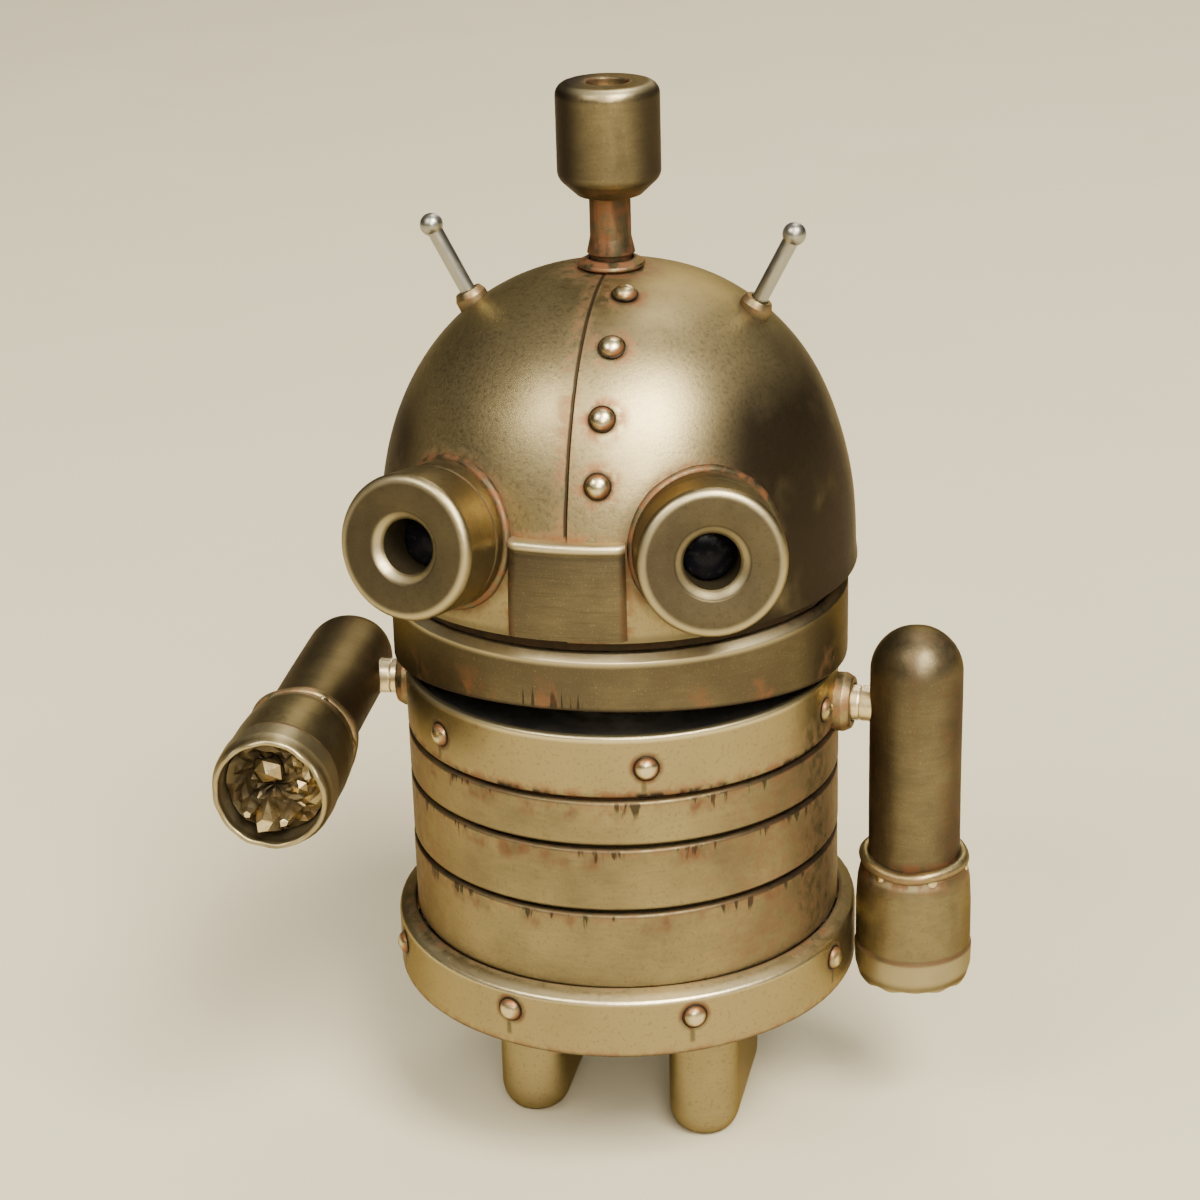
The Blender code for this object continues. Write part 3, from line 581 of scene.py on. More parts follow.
# %% [markdown]
# ## The top band and the base band
#
# The top band closes the body under the mouth and carries six rivets and the shoulder bushes. The base band
# is wider, with a sloping ledge on top. Wash collects in the corner where the ledge meets the body, so that
# corner is red-brown. The ledge's edge and the top band's upper edge get a painted highlight at the front.

# %% Turn the two riveted bands
TOP_RIVETS, TOP_FIRST = 6, 17.4
BASE_RIVETS, BASE_FIRST = 8, -17.8
BASE_R = BODY_R + 1.9
top_low = UPPER_TOP + GROOVE
top_middle = (top_low - GROOVE / 2 + BAND_TOP) / 2
base_rivet_z = BASE_LOW + 4.1


def top_wash(spot):
    finish = spot.finish
    ring, run = rings_round(spot, TOP_RIVETS, TOP_FIRST, top_middle, BODY_R, RIVET_R)
    blotch = finish.soft(finish.noise(spot.stretched(1, 1, 0.3), 0.7, 2.0), 0.5, 0.66)
    lower = line_at(spot, top_low, 0.9) * (0.35 + 0.65 * blotch)
    corner = finish.soft(abs(spot.z - BAND_TOP), 0.5, 0.1) * 0.25
    sides = finish.soft(abs(spot.x), 15, 22) * finish.soft(spot.z, top_low + 5, top_low)
    red = finish.most(ring, sides * 0.7, finish.soft(spot.z, top_low + 1.6, top_low))
    return finish.most(lower, corner, ring * 0.5, run * 0.55), red


# Painted highlight: a pale line along the top band's upper edge, on the front only.
def band_edge_highlight(spot):
    front = spot.finish.soft(spot.y, -6, -16)
    return spot.finish.soft(abs(spot.z - BAND_TOP + 0.25), 0.55, 0.1) * front


def base_wash(spot):
    finish = spot.finish
    ring, run = rings_round(spot, BASE_RIVETS, BASE_FIRST, base_rivet_z, BASE_R, RIVET_R)
    near_top = finish.soft(spot.z, BASE_TOP - 1, BASE_TOP)
    corner = finish.soft(spot.radius, BODY_R + 0.75, BODY_R + 0.2) * near_top
    foot = line_at(spot, BASE_LOW, 0.6) * 0.6
    side = finish.soft(abs(spot.angle), 0.35, 0.8)
    patch = finish.soft(finish.noise(spot.stretched(1, 1, 0.3), 0.35, 3.0), 0.42, 0.62)
    slope = finish.soft(spot.z, BASE_TOP - 1.1, BASE_TOP - 0.6)
    ledge = finish.soft(spot.radius, BASE_R - 0.2, BODY_R + 0.6) * slope * patch * side
    low_edge = finish.soft(spot.z, BASE_LOW + 1.3, BASE_LOW) * 0.7
    red = finish.most(ring, corner * (0.5 + 0.5 * side), ledge, low_edge)
    return finish.most(ring * 0.5, run * 0.6, foot, corner * (0.4 + 0.4 * side), ledge * 0.4), red


# Painted highlight: a pale line along the ledge's edge, on the front only.
def ledge_edge_highlight(spot):
    return spot.finish.soft(abs(spot.z - BASE_TOP + 0.85), 0.55, 0.15) * spot.finish.soft(spot.y, -8, -18)


top_paint = gold_paint("top_band_paint", top_wash, 0.88, 4.0, band_edge_highlight)
top_shape = lathe(hoop_outline(top_low, BAND_TOP, 0.35), closed=True, warp=uneven(4))
piece("top_band_tin", top_shape, top_paint, "body", ["top_band"])
rivet_row("top_band", TOP_RIVETS, TOP_FIRST, top_middle, BODY_R)

base_outline = rounded([
    (BASE_R, BASE_LOW, 0.4), (BASE_R, BASE_TOP - 0.95, 0.55), (BODY_R + 0.15, BASE_TOP, 0.12),
    (BODY_R + 0.15, BASE_TOP - WALL), (BASE_R - WALL, BASE_TOP - 1.7), (BASE_R - WALL, BASE_LOW, 0.25),
], closed=True)
base_paint = gold_paint("base_band_paint", base_wash, 0.98, 5.0, ledge_edge_highlight)
piece("base_band_tin", lathe(base_outline, closed=True, warp=uneven(5)), base_paint, "body", ["base_band"])
rivet_row("base_band", BASE_RIVETS, BASE_FIRST, base_rivet_z, BASE_R)
print("bands and", TOP_RIVETS + BASE_RIVETS, "rivets")

# %% [markdown]
# ## The jaw ring and the open mouth
#
# The jaw is one more ring, but its lower edge arches up at the front, and the dark gap under it reads as a
# mouth. We turn the same kind of profile and let the warp lift its lower part as it comes round to the
# front. Its top is a wide rounded ledge that catches the light below the dome.

# %% Turn the jaw
JAW_FRONT_LOW = 53.65
JAW_ARCH = 1.2


def jaw_warp(turn, r, z):
    facing = max(0.0, math.cos(turn)) ** JAW_ARCH
    share = min(max((JAW_TOP - 1.2 - z) / (JAW_TOP - 1.2 - JAW_LOW), 0.0), 1.0)
    r, z = uneven(6, 0.03)(turn, r, z)
    return r, z + (JAW_FRONT_LOW - JAW_LOW) * facing * share


def jaw_wash(spot):
    finish = spot.finish
    facing = finish.maths("MAXIMUM", finish.maths("COSINE", spot.angle), 0.0) ** JAW_ARCH
    lip = JAW_LOW + (JAW_FRONT_LOW - JAW_LOW) * facing
    above = spot.z - lip
    scratch = finish.noise(spot.stretched(1, 1, 0.0), 2.2, 1.0)
    reach = finish.soft(scratch, 0.5, 0.7) * 2.3 * finish.soft(abs(spot.x + 2.5), 7.5, 2)
    upward = finish.soft(above - reach, 0.3, -0.9)
    smudge = finish.soft(finish.noise(spot.stretched(1, 1, 0.6), 0.22, 2.0), 0.5, 0.62)
    dark = finish.most(finish.soft(above, 0.55, 0.1) * 0.85, upward * 0.75)
    top_edge = finish.soft(spot.z, JAW_TOP - 0.8, JAW_TOP - 0.2) * 0.35
    red = finish.most(smudge * finish.soft(above, 4.5, 1.0), top_edge)
    return dark, red * 0.7


# Painted highlight: a pale band just under the jaw's top, on the front only.
def jaw_edge_highlight(spot):
    return spot.finish.soft(spot.z, JAW_TOP - 1.4, JAW_TOP - 0.6) * spot.finish.soft(spot.y, -8, -18)


jaw_corners = [(JAW_R - WALL, JAW_LOW), (JAW_R, JAW_LOW, 0.35)]
jaw_corners += [(JAW_R, JAW_LOW + share * (JAW_TOP - 1.4 - JAW_LOW)) for share in (0.25, 0.5, 0.75)]
jaw_corners += [(JAW_R, JAW_TOP - 0.75, 0.3), (JAW_R - 0.75, JAW_TOP, 0.3), (JAW_R - 2.0, JAW_TOP)]
jaw_corners += [(JAW_R - 2.0, JAW_TOP - WALL), (JAW_R - WALL, JAW_TOP - WALL)]
jaw_shape = lathe(rounded(jaw_corners, closed=True), closed=True, warp=jaw_warp)
piece("jaw_tin", jaw_shape, gold_paint("jaw_paint", jaw_wash, 0.1, 6.0, jaw_edge_highlight), "head", ["jaw_ring"])
print("mouth opens", round(JAW_FRONT_LOW - BAND_TOP, 2), "mm at the front")

# %% [markdown]
# ## The domed head
#
# The dome is a superellipse: steeper at the sides than a ball and flatter on top. It is made of two pressed
# halves, and the robot's left half laps over the right one down the middle of the face. We turn the profile
# and lift one side of the front meridian by the sheet's thickness, with extra columns just there so that
# the step is crisp.

# %% Turn the dome with its lapped seam
CROWN_HOLE_R = 2.9
DOME_POWER = 2.3
DOME_WALL = 0.7
LAP = 0.28
DOME_H = (DOME_TOP - DOME_LOW) / (1 - (CROWN_HOLE_R / DOME_R) ** DOME_POWER) ** (1 / DOME_POWER)
PLATE_TOP = box_mm("face_plate")[1].z


def on_dome(height, extra=0.0):
    """The dome's radius at a height, grown by extra."""
    rise = min(max(height - DOME_LOW, 0.0) / (DOME_H + extra), 1.0)
    return (DOME_R + extra) * (1 - rise ** DOME_POWER) ** (1 / DOME_POWER)


def dome_profile(extra, steps):
    radius, height = DOME_R + extra, DOME_H + extra
    last = math.acos((CROWN_HOLE_R / radius) ** (DOME_POWER / 2))
    angles = [last * i / steps for i in range(steps + 1)]
    return [
        (radius * math.cos(a) ** (2 / DOME_POWER), DOME_LOW + height * math.sin(a) ** (2 / DOME_POWER))
        for a in angles
    ]


def step_up(value, low, high):
    share = min(max((value - low) / (high - low), 0.0), 1.0)
    return share * share * (3 - 2 * share)


def lap_warp(turn, r, z):
    across = (math.degrees(turn) + 180) % 360 - 180
    lifted = step_up(across, -0.25, 0.25) * (1 - step_up(across, 22, 60))
    bead = 0.16 * (1 - step_up(z, DOME_LOW + 0.4, DOME_LOW + 1.1))
    dent = 0.05 * math.sin(2 * turn + 1.0 + z * 0.11) + 0.03 * math.sin(7 * turn + z * 0.4)
    return r + (LAP * lifted + bead + dent) * min(1.0, (r - CROWN_HOLE_R) / 2), z


fine = [math.radians(angle) for angle in (-1.2, -0.6, -0.25, 0.0, 0.25, 0.6, 1.2)]
dome_turns = sorted([turn for turn in even_turns(144) if abs(turn) > 0.03 and turn < math.tau - 0.03]
                    + [turn % math.tau for turn in fine])
dome_shape = lathe(dome_profile(0, 56) + dome_profile(-DOME_WALL, 12)[::-1], dome_turns, True, lap_warp)
print("dome height", round(DOME_H, 2), "mm, lap", LAP, "mm")

# %% [markdown]
# ## Where the eyes, rivets and aerials meet the dome
#
# The wash on the dome follows what is fixed to it, so we settle those places first. The eye tubes splay out
# and look slightly up. Four rivets hold the lapped seam. The aerials lean outwards near the crown.

# %% Places on the dome
EYE_FACE = (14.4, -27.4, 71.0)
EYE_R = 6.9
EYE_YAW = math.radians(15)
EYE_LEAN = math.radians(81)
SEAM_RIVET_X = 2.75
SEAM_RIVET_Z = (75.7, 81.2, 86.5, 89.7)
AERIAL_FOOT = (13.85, 0, 86.65)
AERIAL_TILT = math.radians(27.4)


def dome_normal(x, y, z):
    """The direction that faces out of the dome at a point on it."""
    r = math.hypot(x, y)
    outward = (r / DOME_R) ** (DOME_POWER - 1) / DOME_R
    upward = (max(z - DOME_LOW, 0) / DOME_H) ** (DOME_POWER - 1) / DOME_H
    return Vector((x / r * outward, y / r * outward, upward)).normalized()


def eye_place(side):
    return set_at(side * EYE_FACE[0], EYE_FACE[1], EYE_FACE[2], side * EYE_YAW, EYE_LEAN)


def eye_axis(side):
    turned = Matrix.Rotation(side * EYE_YAW, 3, "Z") @ Matrix.Rotation(EYE_LEAN, 3, "X")
    return turned @ Vector((0, 0, 1))


def seam_point(height):
    radius = on_dome(height)
    return Vector((SEAM_RIVET_X, -math.sqrt(radius ** 2 - SEAM_RIVET_X ** 2), height))


print("eye axis", [round(value, 2) for value in eye_axis(1)])

# %% [markdown]
# ## Wash and painted shade on the dome
#
# Brown stays along the lap of the seam, heavier near the crown, round the four rivets, above the face
# plate's lip and in a ring where each eye tube is soldered on. The sides of the dome are darkened with a
# cloudy painted shade in the wash's dark brown.


# %% Paint the dome
def dome_wash_and_shade(spot):
    finish = spot.finish
    front = finish.soft(spot.y, 0, -1.5)
    above_plate = finish.soft(spot.z, PLATE_TOP, PLATE_TOP + 0.5)
    wobble = (finish.noise(spot.stretched(0, 0, 1), 0.5, 2.0) - 0.5) * 0.5
    seam = finish.soft(abs(spot.x + 0.12 + wobble * 0.3), 0.3, 0.12) * front * above_plate
    crown = finish.soft(spot.radius, 6.5, 3.2)
    beside_seam = finish.soft(abs(spot.x + 0.5 + wobble), 1.5, 0.3) * front * above_plate
    rings = [ring_about(spot, seam_point(z), 1.3, 0.45) for z in SEAM_RIVET_Z]
    halos = [ring_about(spot, seam_point(z), 1.5, 1.4) for z in SEAM_RIVET_Z]
    drip_end = seam_point(SEAM_RIVET_Z[1]) + Vector((0.5, 0, -2.0))
    feet = [ring_about(spot, (side * AERIAL_FOOT[0], 0, AERIAL_FOOT[2]), 1.9, 0.9) for side in (-1, 1)]
    roots = []
    for side in (-1, 1):
        face = (side * EYE_FACE[0], EYE_FACE[1], EYE_FACE[2])
        from_face = finish.vectors("SUBTRACT", spot.place, Vector(face))
        across = finish.vectors("CROSS_PRODUCT", from_face, eye_axis(side))
        off_axis = finish.vectors("LENGTH", across, out="Value")
        roots.append(finish.soft(off_axis, EYE_R + 1.7, EYE_R + 0.3) * finish.soft(spot.y, -4, -10))
    lip = finish.soft(spot.z, PLATE_TOP + 1.1, PLATE_TOP + 0.2) * finish.soft(abs(spot.x), 6.6, 5.4) * front
    rim = finish.soft(spot.z, DOME_LOW + 0.9, DOME_LOW + 0.2)
    # Painted shade: both sides of the dome are darkened in cloudy patches.
    right_shade = finish.soft(spot.x, 8.5, 16) * finish.soft(spot.y, 8, -2) * finish.soft(spot.z, 89, 79)
    sides = finish.most(right_shade * 0.96, finish.soft(spot.x, -11.5, -19) * finish.soft(spot.z, 86, 76) * 0.96)
    clouds = finish.soft(finish.noise(spot.place, 0.16, 3.0), -0.2, 0.5)
    dark = finish.most(
        seam * 0.9, *(ring * 0.6 for ring in rings), ring_about(spot, drip_end, 0.2, 0.5) * 0.6,
        crown * 0.3, rim * 0.4, *(root * 0.42 for root in roots), *(foot * 0.4 for foot in feet),
        sides * clouds,
    )
    red = finish.most(beside_seam * (0.6 + crown * 0.4), *halos, lip, *(root * 0.8 for root in roots), crown)
    return dark, red * 0.85


dome_paint = gold_paint("dome_paint", dome_wash_and_shade, 0.74, 7.0, rough=0.4)
piece("dome_tin", dome_shape, dome_paint, "head", ["head_dome"])
print("dome painted with", len(dome_paint.node_tree.nodes), "nodes")

# %% [markdown]
# ## Seam rivets, face plate and crown bush
#
# The seam rivets are the same buttons, sitting square to the curved sheet. The face plate is a strip of
# sheet that follows the dome between the eyes, brushed sideways, with a raised lip along its top edge. The
# crown bush guides the winding stem through the top of the dome.


# %% Fix the small parts to the dome
def square_to_dome(point, sink=0.0):
    normal = dome_normal(*point)
    aim_out = normal.to_track_quat("Z", "Y").to_matrix().to_4x4()
    return AT_AXIS @ Matrix.Translation((point - normal * sink) * MM) @ aim_out


for i, height in enumerate(SEAM_RIVET_Z, 1):
    place = square_to_dome(seam_point(height), -LAP - 0.05)
    piece(f"seam_rivet_{i}_head", rivet_shape(1.0, 0.9), rivet_paint, "head", [f"seam_rivet_{i}"], place)

PLATE_HALF = 5.5
plate_low = box_mm("face_plate")[0].z
PLATE_THICK = 0.7


def face_plate_shape(columns=24, rows=36):
    """A curved strip with thickness. Its top edge is folded out into a narrow lip."""
    bm = bmesh.new()
    spread = math.asin(PLATE_HALF / DOME_R)
    loops = []
    for row in range(rows + 1):
        z = plate_low + (PLATE_TOP - plate_low) * row / rows
        lip = 0.32 * step_up(z, PLATE_TOP - 1.1, PLATE_TOP - 0.7)
        outer, inner = [], []
        for column in range(columns + 1):
            share = 2 * column / columns - 1
            turn = spread * share
            edge = 0.3 * (step_up(abs(share), 0.93, 1.0) + step_up(z, PLATE_TOP - 0.25, PLATE_TOP))
            for r, line in ((on_dome(z) + 0.2 + PLATE_THICK + lip - edge, outer), (on_dome(z) - 0.1, inner)):
                line.append(bm.verts.new(Vector((r * math.sin(turn), -r * math.cos(turn), z)) * MM))
        loops.append(outer + inner[::-1])
    for lower, upper in zip(loops, loops[1:]):
        for a in range(len(lower)):
            b = (a + 1) % len(lower)
            bm.faces.new((lower[a], lower[b], upper[b], upper[a]))
    bm.faces.new(loops[0])
    bm.faces.new(loops[-1])
    bmesh.ops.recalc_face_normals(bm, faces=bm.faces)
    return bm


def plate_wash(spot):
    finish = spot.finish
    scratch = finish.soft(finish.noise(spot.stretched(0.25, 0.25, 6), 1.0, 3.0), 0.5, 0.68)
    edges = finish.soft(abs(spot.x), PLATE_HALF - 0.7, PLATE_HALF)
    under_lip = finish.soft(abs(spot.z - PLATE_TOP + 1.35), 0.35, 0.05)
    return finish.most(scratch * 0.22, edges * 0.45, under_lip * 0.35), edges * 0.6


# Painted highlight: the folded lip along the top of the face plate is painted pale.
def plate_lip_highlight(spot):
    return spot.finish.soft(spot.z, PLATE_TOP - 0.9, PLATE_TOP - 0.5)


plate_paint = gold_paint("face_plate_paint", plate_wash, 0.2, 8.0, plate_lip_highlight)
piece("face_plate_tin", face_plate_shape(), plate_paint, "head", ["face_plate"])

crown_low, crown_high = (corner.z for corner in box_mm("crown_bush"))
STEM_R = 2.0
crown_outline = rounded([
    (STEM_R + 0.15, crown_low), (CROWN_HOLE_R - 0.15, crown_low), (CROWN_HOLE_R - 0.15, crown_high - 1.1),
    (3.35, crown_high - 1.1, 0.15), (3.2, crown_high - 0.7, 0.2), (2.5, crown_high - 0.3, 0.3),
    (STEM_R + 0.15, crown_high - 0.3, 0.1),
], closed=True)


def crown_wash(spot):
    return spot.finish.soft(spot.radius, 2.7, 2.2) * 0.8, spot.finish.soft(spot.radius, 4.2, 2.6)


crown_paint = gold_paint("crown_paint", crown_wash, 0.3)
piece("crown_bush_tin", lathe(crown_outline, even_turns(64), True), crown_paint, "head", ["crown_bush"])
print("face plate", 2 * PLATE_HALF, "mm wide,", round(PLATE_TOP - plate_low, 1), "mm tall")

# %% [markdown]
# ## Eye tubes
#
# Each eye is a thick tube, soldered to the dome, with a rounded rim, a chamfered bore and a dark glass disc
# deep inside. A faint scribed ring runs round the tube. The solder seam is a soft bead that follows the line
# where tube and dome meet, so we compute that line: for each direction round the tube we slide back along
# it until we are inside the dome.

# %% Turn the eye tubes and lay the solder
EYE_BORE_R = 2.6
LENS_R = 2.45
EYE_DEPTH = 13.0
RING_BACK = 5.4


def eye_wash_and_shade(spot):
    finish = spot.finish
    face = finish.soft(spot.z, -0.5, -0.12) * finish.soft(spot.radius, EYE_R - 0.35, EYE_R - 1.0)
    # Painted shade: the bore is painted almost black.
    bore_shade = finish.soft(spot.radius, 2.75, 2.5)
    ring = line_at(spot, -RING_BACK, 0.28)
    back = finish.soft(spot.z, -6.5, -10)
    dark = finish.most(face * 0.66, bore_shade * 0.97, ring * 0.4, back * 0.25)
    return dark, finish.most(ring * 0.5, back * 0.8)


# Painted highlight: pale rings round the tube's rim and round the top of the bore.
def eye_rim_highlight(spot):
    finish = spot.finish
    rim = finish.soft(abs(spot.radius - EYE_R + 0.55), 0.5, 0.1) * finish.soft(spot.z, -0.9, -0.3)
    return finish.most(rim, finish.soft(abs(spot.radius - 3.1), 0.4, 0.15)) * 0.55


def inside_dome(point):
    rise = max(point.z - DOME_LOW, 0) / DOME_H
    return (math.hypot(point.x, point.y) / DOME_R) ** DOME_POWER + rise ** DOME_POWER < 1


def solder_line(side, count=64):
    """Points in the eye tube's own frame, where its wall meets the dome."""
    local_to_body = AT_AXIS.inverted() @ eye_place(side)
    points = []
    for i in range(count):
        turn = math.tau * i / count
        near, far = 0.0, -EYE_DEPTH - 3
        for _ in range(24):
            middle = (near + far) / 2
            local = Vector((EYE_R * math.sin(turn), -EYE_R * math.cos(turn), middle))
            if inside_dome(local_to_body @ (local * MM) / MM):
                far = middle
            else:
                near = middle
        points.append(Vector((EYE_R * math.sin(turn), -EYE_R * math.cos(turn), near)))
    return points


def bead(line, radius, rng, sides=10):
    """A closed, slightly lumpy tube along a loop of points."""
    bm = bmesh.new()
    loops = []
    swell = 1.0
    for i, point in enumerate(line):
        along = (line[(i + 1) % len(line)] - line[i - 1]).normalized()
        outward = Vector((point.x, point.y, 0)).normalized()
        up = along.cross(outward).normalized()
        swell = 0.7 * swell + 0.3 * rng.uniform(0.8, 1.25)
        ring = []
        for k in range(sides):
            around = math.tau * k / sides
            offset = (outward * math.cos(around) + up * math.sin(around)) * radius * swell
            ring.append(bm.verts.new((point + offset) * MM))
        loops.append(ring)
    for first, second in zip(loops, loops[1:] + loops[:1]):
        for k in range(sides):
            m = (k + 1) % sides
            bm.faces.new((first[k], second[k], second[m], first[m]))
    bmesh.ops.recalc_face_normals(bm, faces=bm.faces)
    return bm


eye_outline = rounded([
    (0, -5.6), (EYE_BORE_R, -5.6), (EYE_BORE_R, -1.0, 0.15), (3.5, -0.1, 0.25), (5.2, 0), (EYE_R, 0, 1.25),
    (EYE_R, -RING_BACK + 0.3), (EYE_R - 0.14, -RING_BACK), (EYE_R, -RING_BACK - 0.3),
    (EYE_R, -EYE_DEPTH), (0, -EYE_DEPTH),
], steps=8)
bulge = [math.pi / 2 * i / 8 for i in range(8)]
lens_outline = [(0, -5.4), (LENS_R, -5.4)]
lens_outline += [(LENS_R * math.cos(a), -4.6 + 0.6 * math.sin(a)) for a in bulge] + [(0, -4.0)]
eye_paint = gold_paint("eye_tube_paint", eye_wash_and_shade, 0.42, 9.0, eye_rim_highlight)
solder_paint = gold_paint("solder_paint", lambda spot: (0.3, 0.9), 0.3, 2.0)
SMOKE_BLACK = (0.004, 0.004, 0.006)
DUST_BROWN = (0.03, 0.026, 0.02)
lens_glass = Finish("smoked_lens_glass", Metallic=0.0, IOR=1.3, Specular_IOR_Level=0.2)
dust = lens_glass.noise(Spot(lens_glass).place, 1.4, 3.0)
settled = lens_glass.soft(dust, 0.5, 0.8) * 0.4
lens_glass.shade(Base_Color=lens_glass.mix(settled, SMOKE_BLACK, DUST_BROWN))
lens_glass.shade(Roughness=0.2 + 0.25 * lens_glass.soft(dust, 0.45, 0.75))
rng = random.Random(5)
for side, name in ((1, "l"), (-1, "r")):
    place = eye_place(side)
    piece(f"eye_tube_{name}", lathe(eye_outline), eye_paint, "head", [f"eye_barrel_{name}"], place)
    piece(f"eye_glass_{name}", lathe(lens_outline, even_turns(40)), lens_glass.material, "head",
          [f"eye_lens_{name}"], place)
    piece(f"eye_solder_{name}", bead(solder_line(side), 0.55, rng), solder_paint, "head", place=place)
print("eye tubes are", 2 * EYE_R, "mm across")

# %% [markdown]
# ## Aerials
#
# Two short wires of bright steel lean out near the crown, each in a small ferrule. Drawn wire has fine
# lengthwise marks, so its roughness comes from a noise that is stretched along the wire.


# %% Bright steel and the aerials
def bright_steel(name, tone=(0.78, 0.76, 0.72)):
    finish = Finish(name, Metallic=1.0)
    spot = Spot(finish)
    marks = finish.noise(spot.stretched(4, 4, 0.25), 1.0, 2.0)
    stain = finish.soft(finish.noise(spot.place, 0.7, 3.0), 0.52, 0.72)
    finish.shade(Base_Color=finish.mix(stain * 0.4, tone, (0.34, 0.27, 0.17)))
    finish.shade(Roughness=0.27 + marks * 0.16 + stain * 0.15)
    finish.relief(marks, 0.01)
    return finish.material


wire_steel = bright_steel("drawn_wire_steel", (0.33, 0.32, 0.28))
wire_r, ball_r, wire_length = 0.78, 1.15, 8.6
neck = math.degrees(math.acos(wire_r / ball_r))
wire_outline = [(0, -1.7), (wire_r, -1.7)] + arc(0, wire_length, ball_r, -neck, 89.9, 12)
wire_outline.append((0, wire_length + ball_r))
collar_outline = rounded([
    (0.9, -1.9), (1.62, -1.9), (1.62, 0.7, 0.3), (1.3, 1.35, 0.15), (0.9, 1.35),
], closed=True)


def collar_wash(spot):
    return spot.finish.soft(spot.z, 0.7, -0.2) * 0.6, 0.4


collar_paint = gold_paint("ferrule_paint", collar_wash, 0.5, 3.0)
for side, name in ((1, "l"), (-1, "r")):
    place = set_at(side * AERIAL_FOOT[0], 0, AERIAL_FOOT[2], tilt=side * AERIAL_TILT)
    piece(f"aerial_wire_{name}", lathe(wire_outline, even_turns(32)), wire_steel, "head",
          [f"aerial_{name}"], place)
    piece(f"aerial_collar_{name}", lathe(collar_outline, even_turns(36), True), collar_paint, "head",
          [f"aerial_ferrule_{name}"], place)
print("aerials stand", wire_length, "mm out of the dome")

# %% [markdown]
# ## Winding stem and knob
#
# The knob is a heavy turned barrel: a tapered skirt, straight sides and a rounded top with a recess for its
# screw. Both sides of the barrel are darkened as painted shade, and the wash was left thick on the stem. The
# stem widens a little where it meets the crown.

# %% Turn the winder
knob_low, knob_high = (corner.z for corner in box_mm("winding_knob"))
KNOB_R = half_width("winding_knob")
RECESS_R = 2.0
RECESS_DEPTH = 1.8
KNOB_BORE_R = 1.2
stem_low, stem_high = (corner.z for corner in box_mm("winding_stem"))
stem_outline = rounded([
    (1.25, stem_low), (STEM_R, stem_low), (STEM_R, crown_high + 0.1), (STEM_R + 0.35, crown_high + 0.2, 0.1),
    (STEM_R, crown_high + 1.8, 1.5), (STEM_R, stem_high), (1.25, stem_high),
], closed=True)
knob_outline = rounded([
    (STEM_R + 0.15, knob_low), (3.1, knob_low, 0.5), (KNOB_R, knob_low + 1.8, 1.4),
    (KNOB_R, knob_high, 1.2), (RECESS_R, knob_high, 0.25), (RECESS_R, knob_high - RECESS_DEPTH),
    (KNOB_BORE_R, knob_high - RECESS_DEPTH), (KNOB_BORE_R, stem_high + 0.3),
    (STEM_R + 0.15, stem_high + 0.3),
], closed=True, steps=6)


def stem_wash(spot):
    finish = spot.finish
    thin = finish.soft(finish.noise(spot.stretched(1, 1, 0.15), 0.8, 2.0), 0.4, 0.65)
    return finish.most(thin * 0.55, finish.soft(spot.z, crown_high + 1.2, crown_high) * 0.5), 0.85


def knob_wash_and_shade(spot):
    finish = spot.finish
    recess = finish.soft(spot.radius, 2.6, 2.0) * finish.soft(spot.z, knob_high - 0.9, knob_high - 0.4)
    skirt = finish.soft(spot.z, knob_low + 1.8, knob_low)
    blotch = finish.soft(finish.noise(spot.stretched(1, 1, 0.35), 0.33, 3.0), 0.45, 0.7)
    # Painted shade: the barrel is darkened on its left and on its right.
    left_shade = finish.soft(spot.x, 0.9, -3.6) * 0.96
    right_shade = finish.soft(spot.x, 1.8, 4.6) * 0.85
    return finish.most(recess * 0.6, skirt * 0.45, blotch * 0.3, left_shade, right_shade), finish.most(skirt, recess)


# Painted highlight: a pale ring round the knob's top rim.
def knob_rim_highlight(spot):
    finish = spot.finish
    near_top = finish.soft(spot.z, knob_high - 1, knob_high - 0.4)
    return finish.soft(abs(spot.radius - KNOB_R + 0.6), 0.5, 0.1) * near_top


stem_paint = gold_paint("stem_paint", stem_wash, 0.15, 2.0)
piece("winding_stem_tin", lathe(stem_outline, even_turns(48), True), stem_paint, "winder", ["winding_stem"])
knob_shape = lathe(knob_outline, even_turns(80), True, uneven(2, 0.02))
knob_paint = gold_paint("knob_paint", knob_wash_and_shade, 0.4, 10.0, knob_rim_highlight, 0.34)
piece("winding_knob_tin", knob_shape, knob_paint, "winder", ["winding_knob"])
print("knob", round(2 * KNOB_R, 1), "mm across and", round(knob_high - knob_low, 1), "mm tall")

# %% [markdown]
# The knob's screw has a slot across its head. A profile alone can't make a slot, so we turn the screw and
# then push its top down wherever a point lies in the slot, with rows of points along both slot walls.


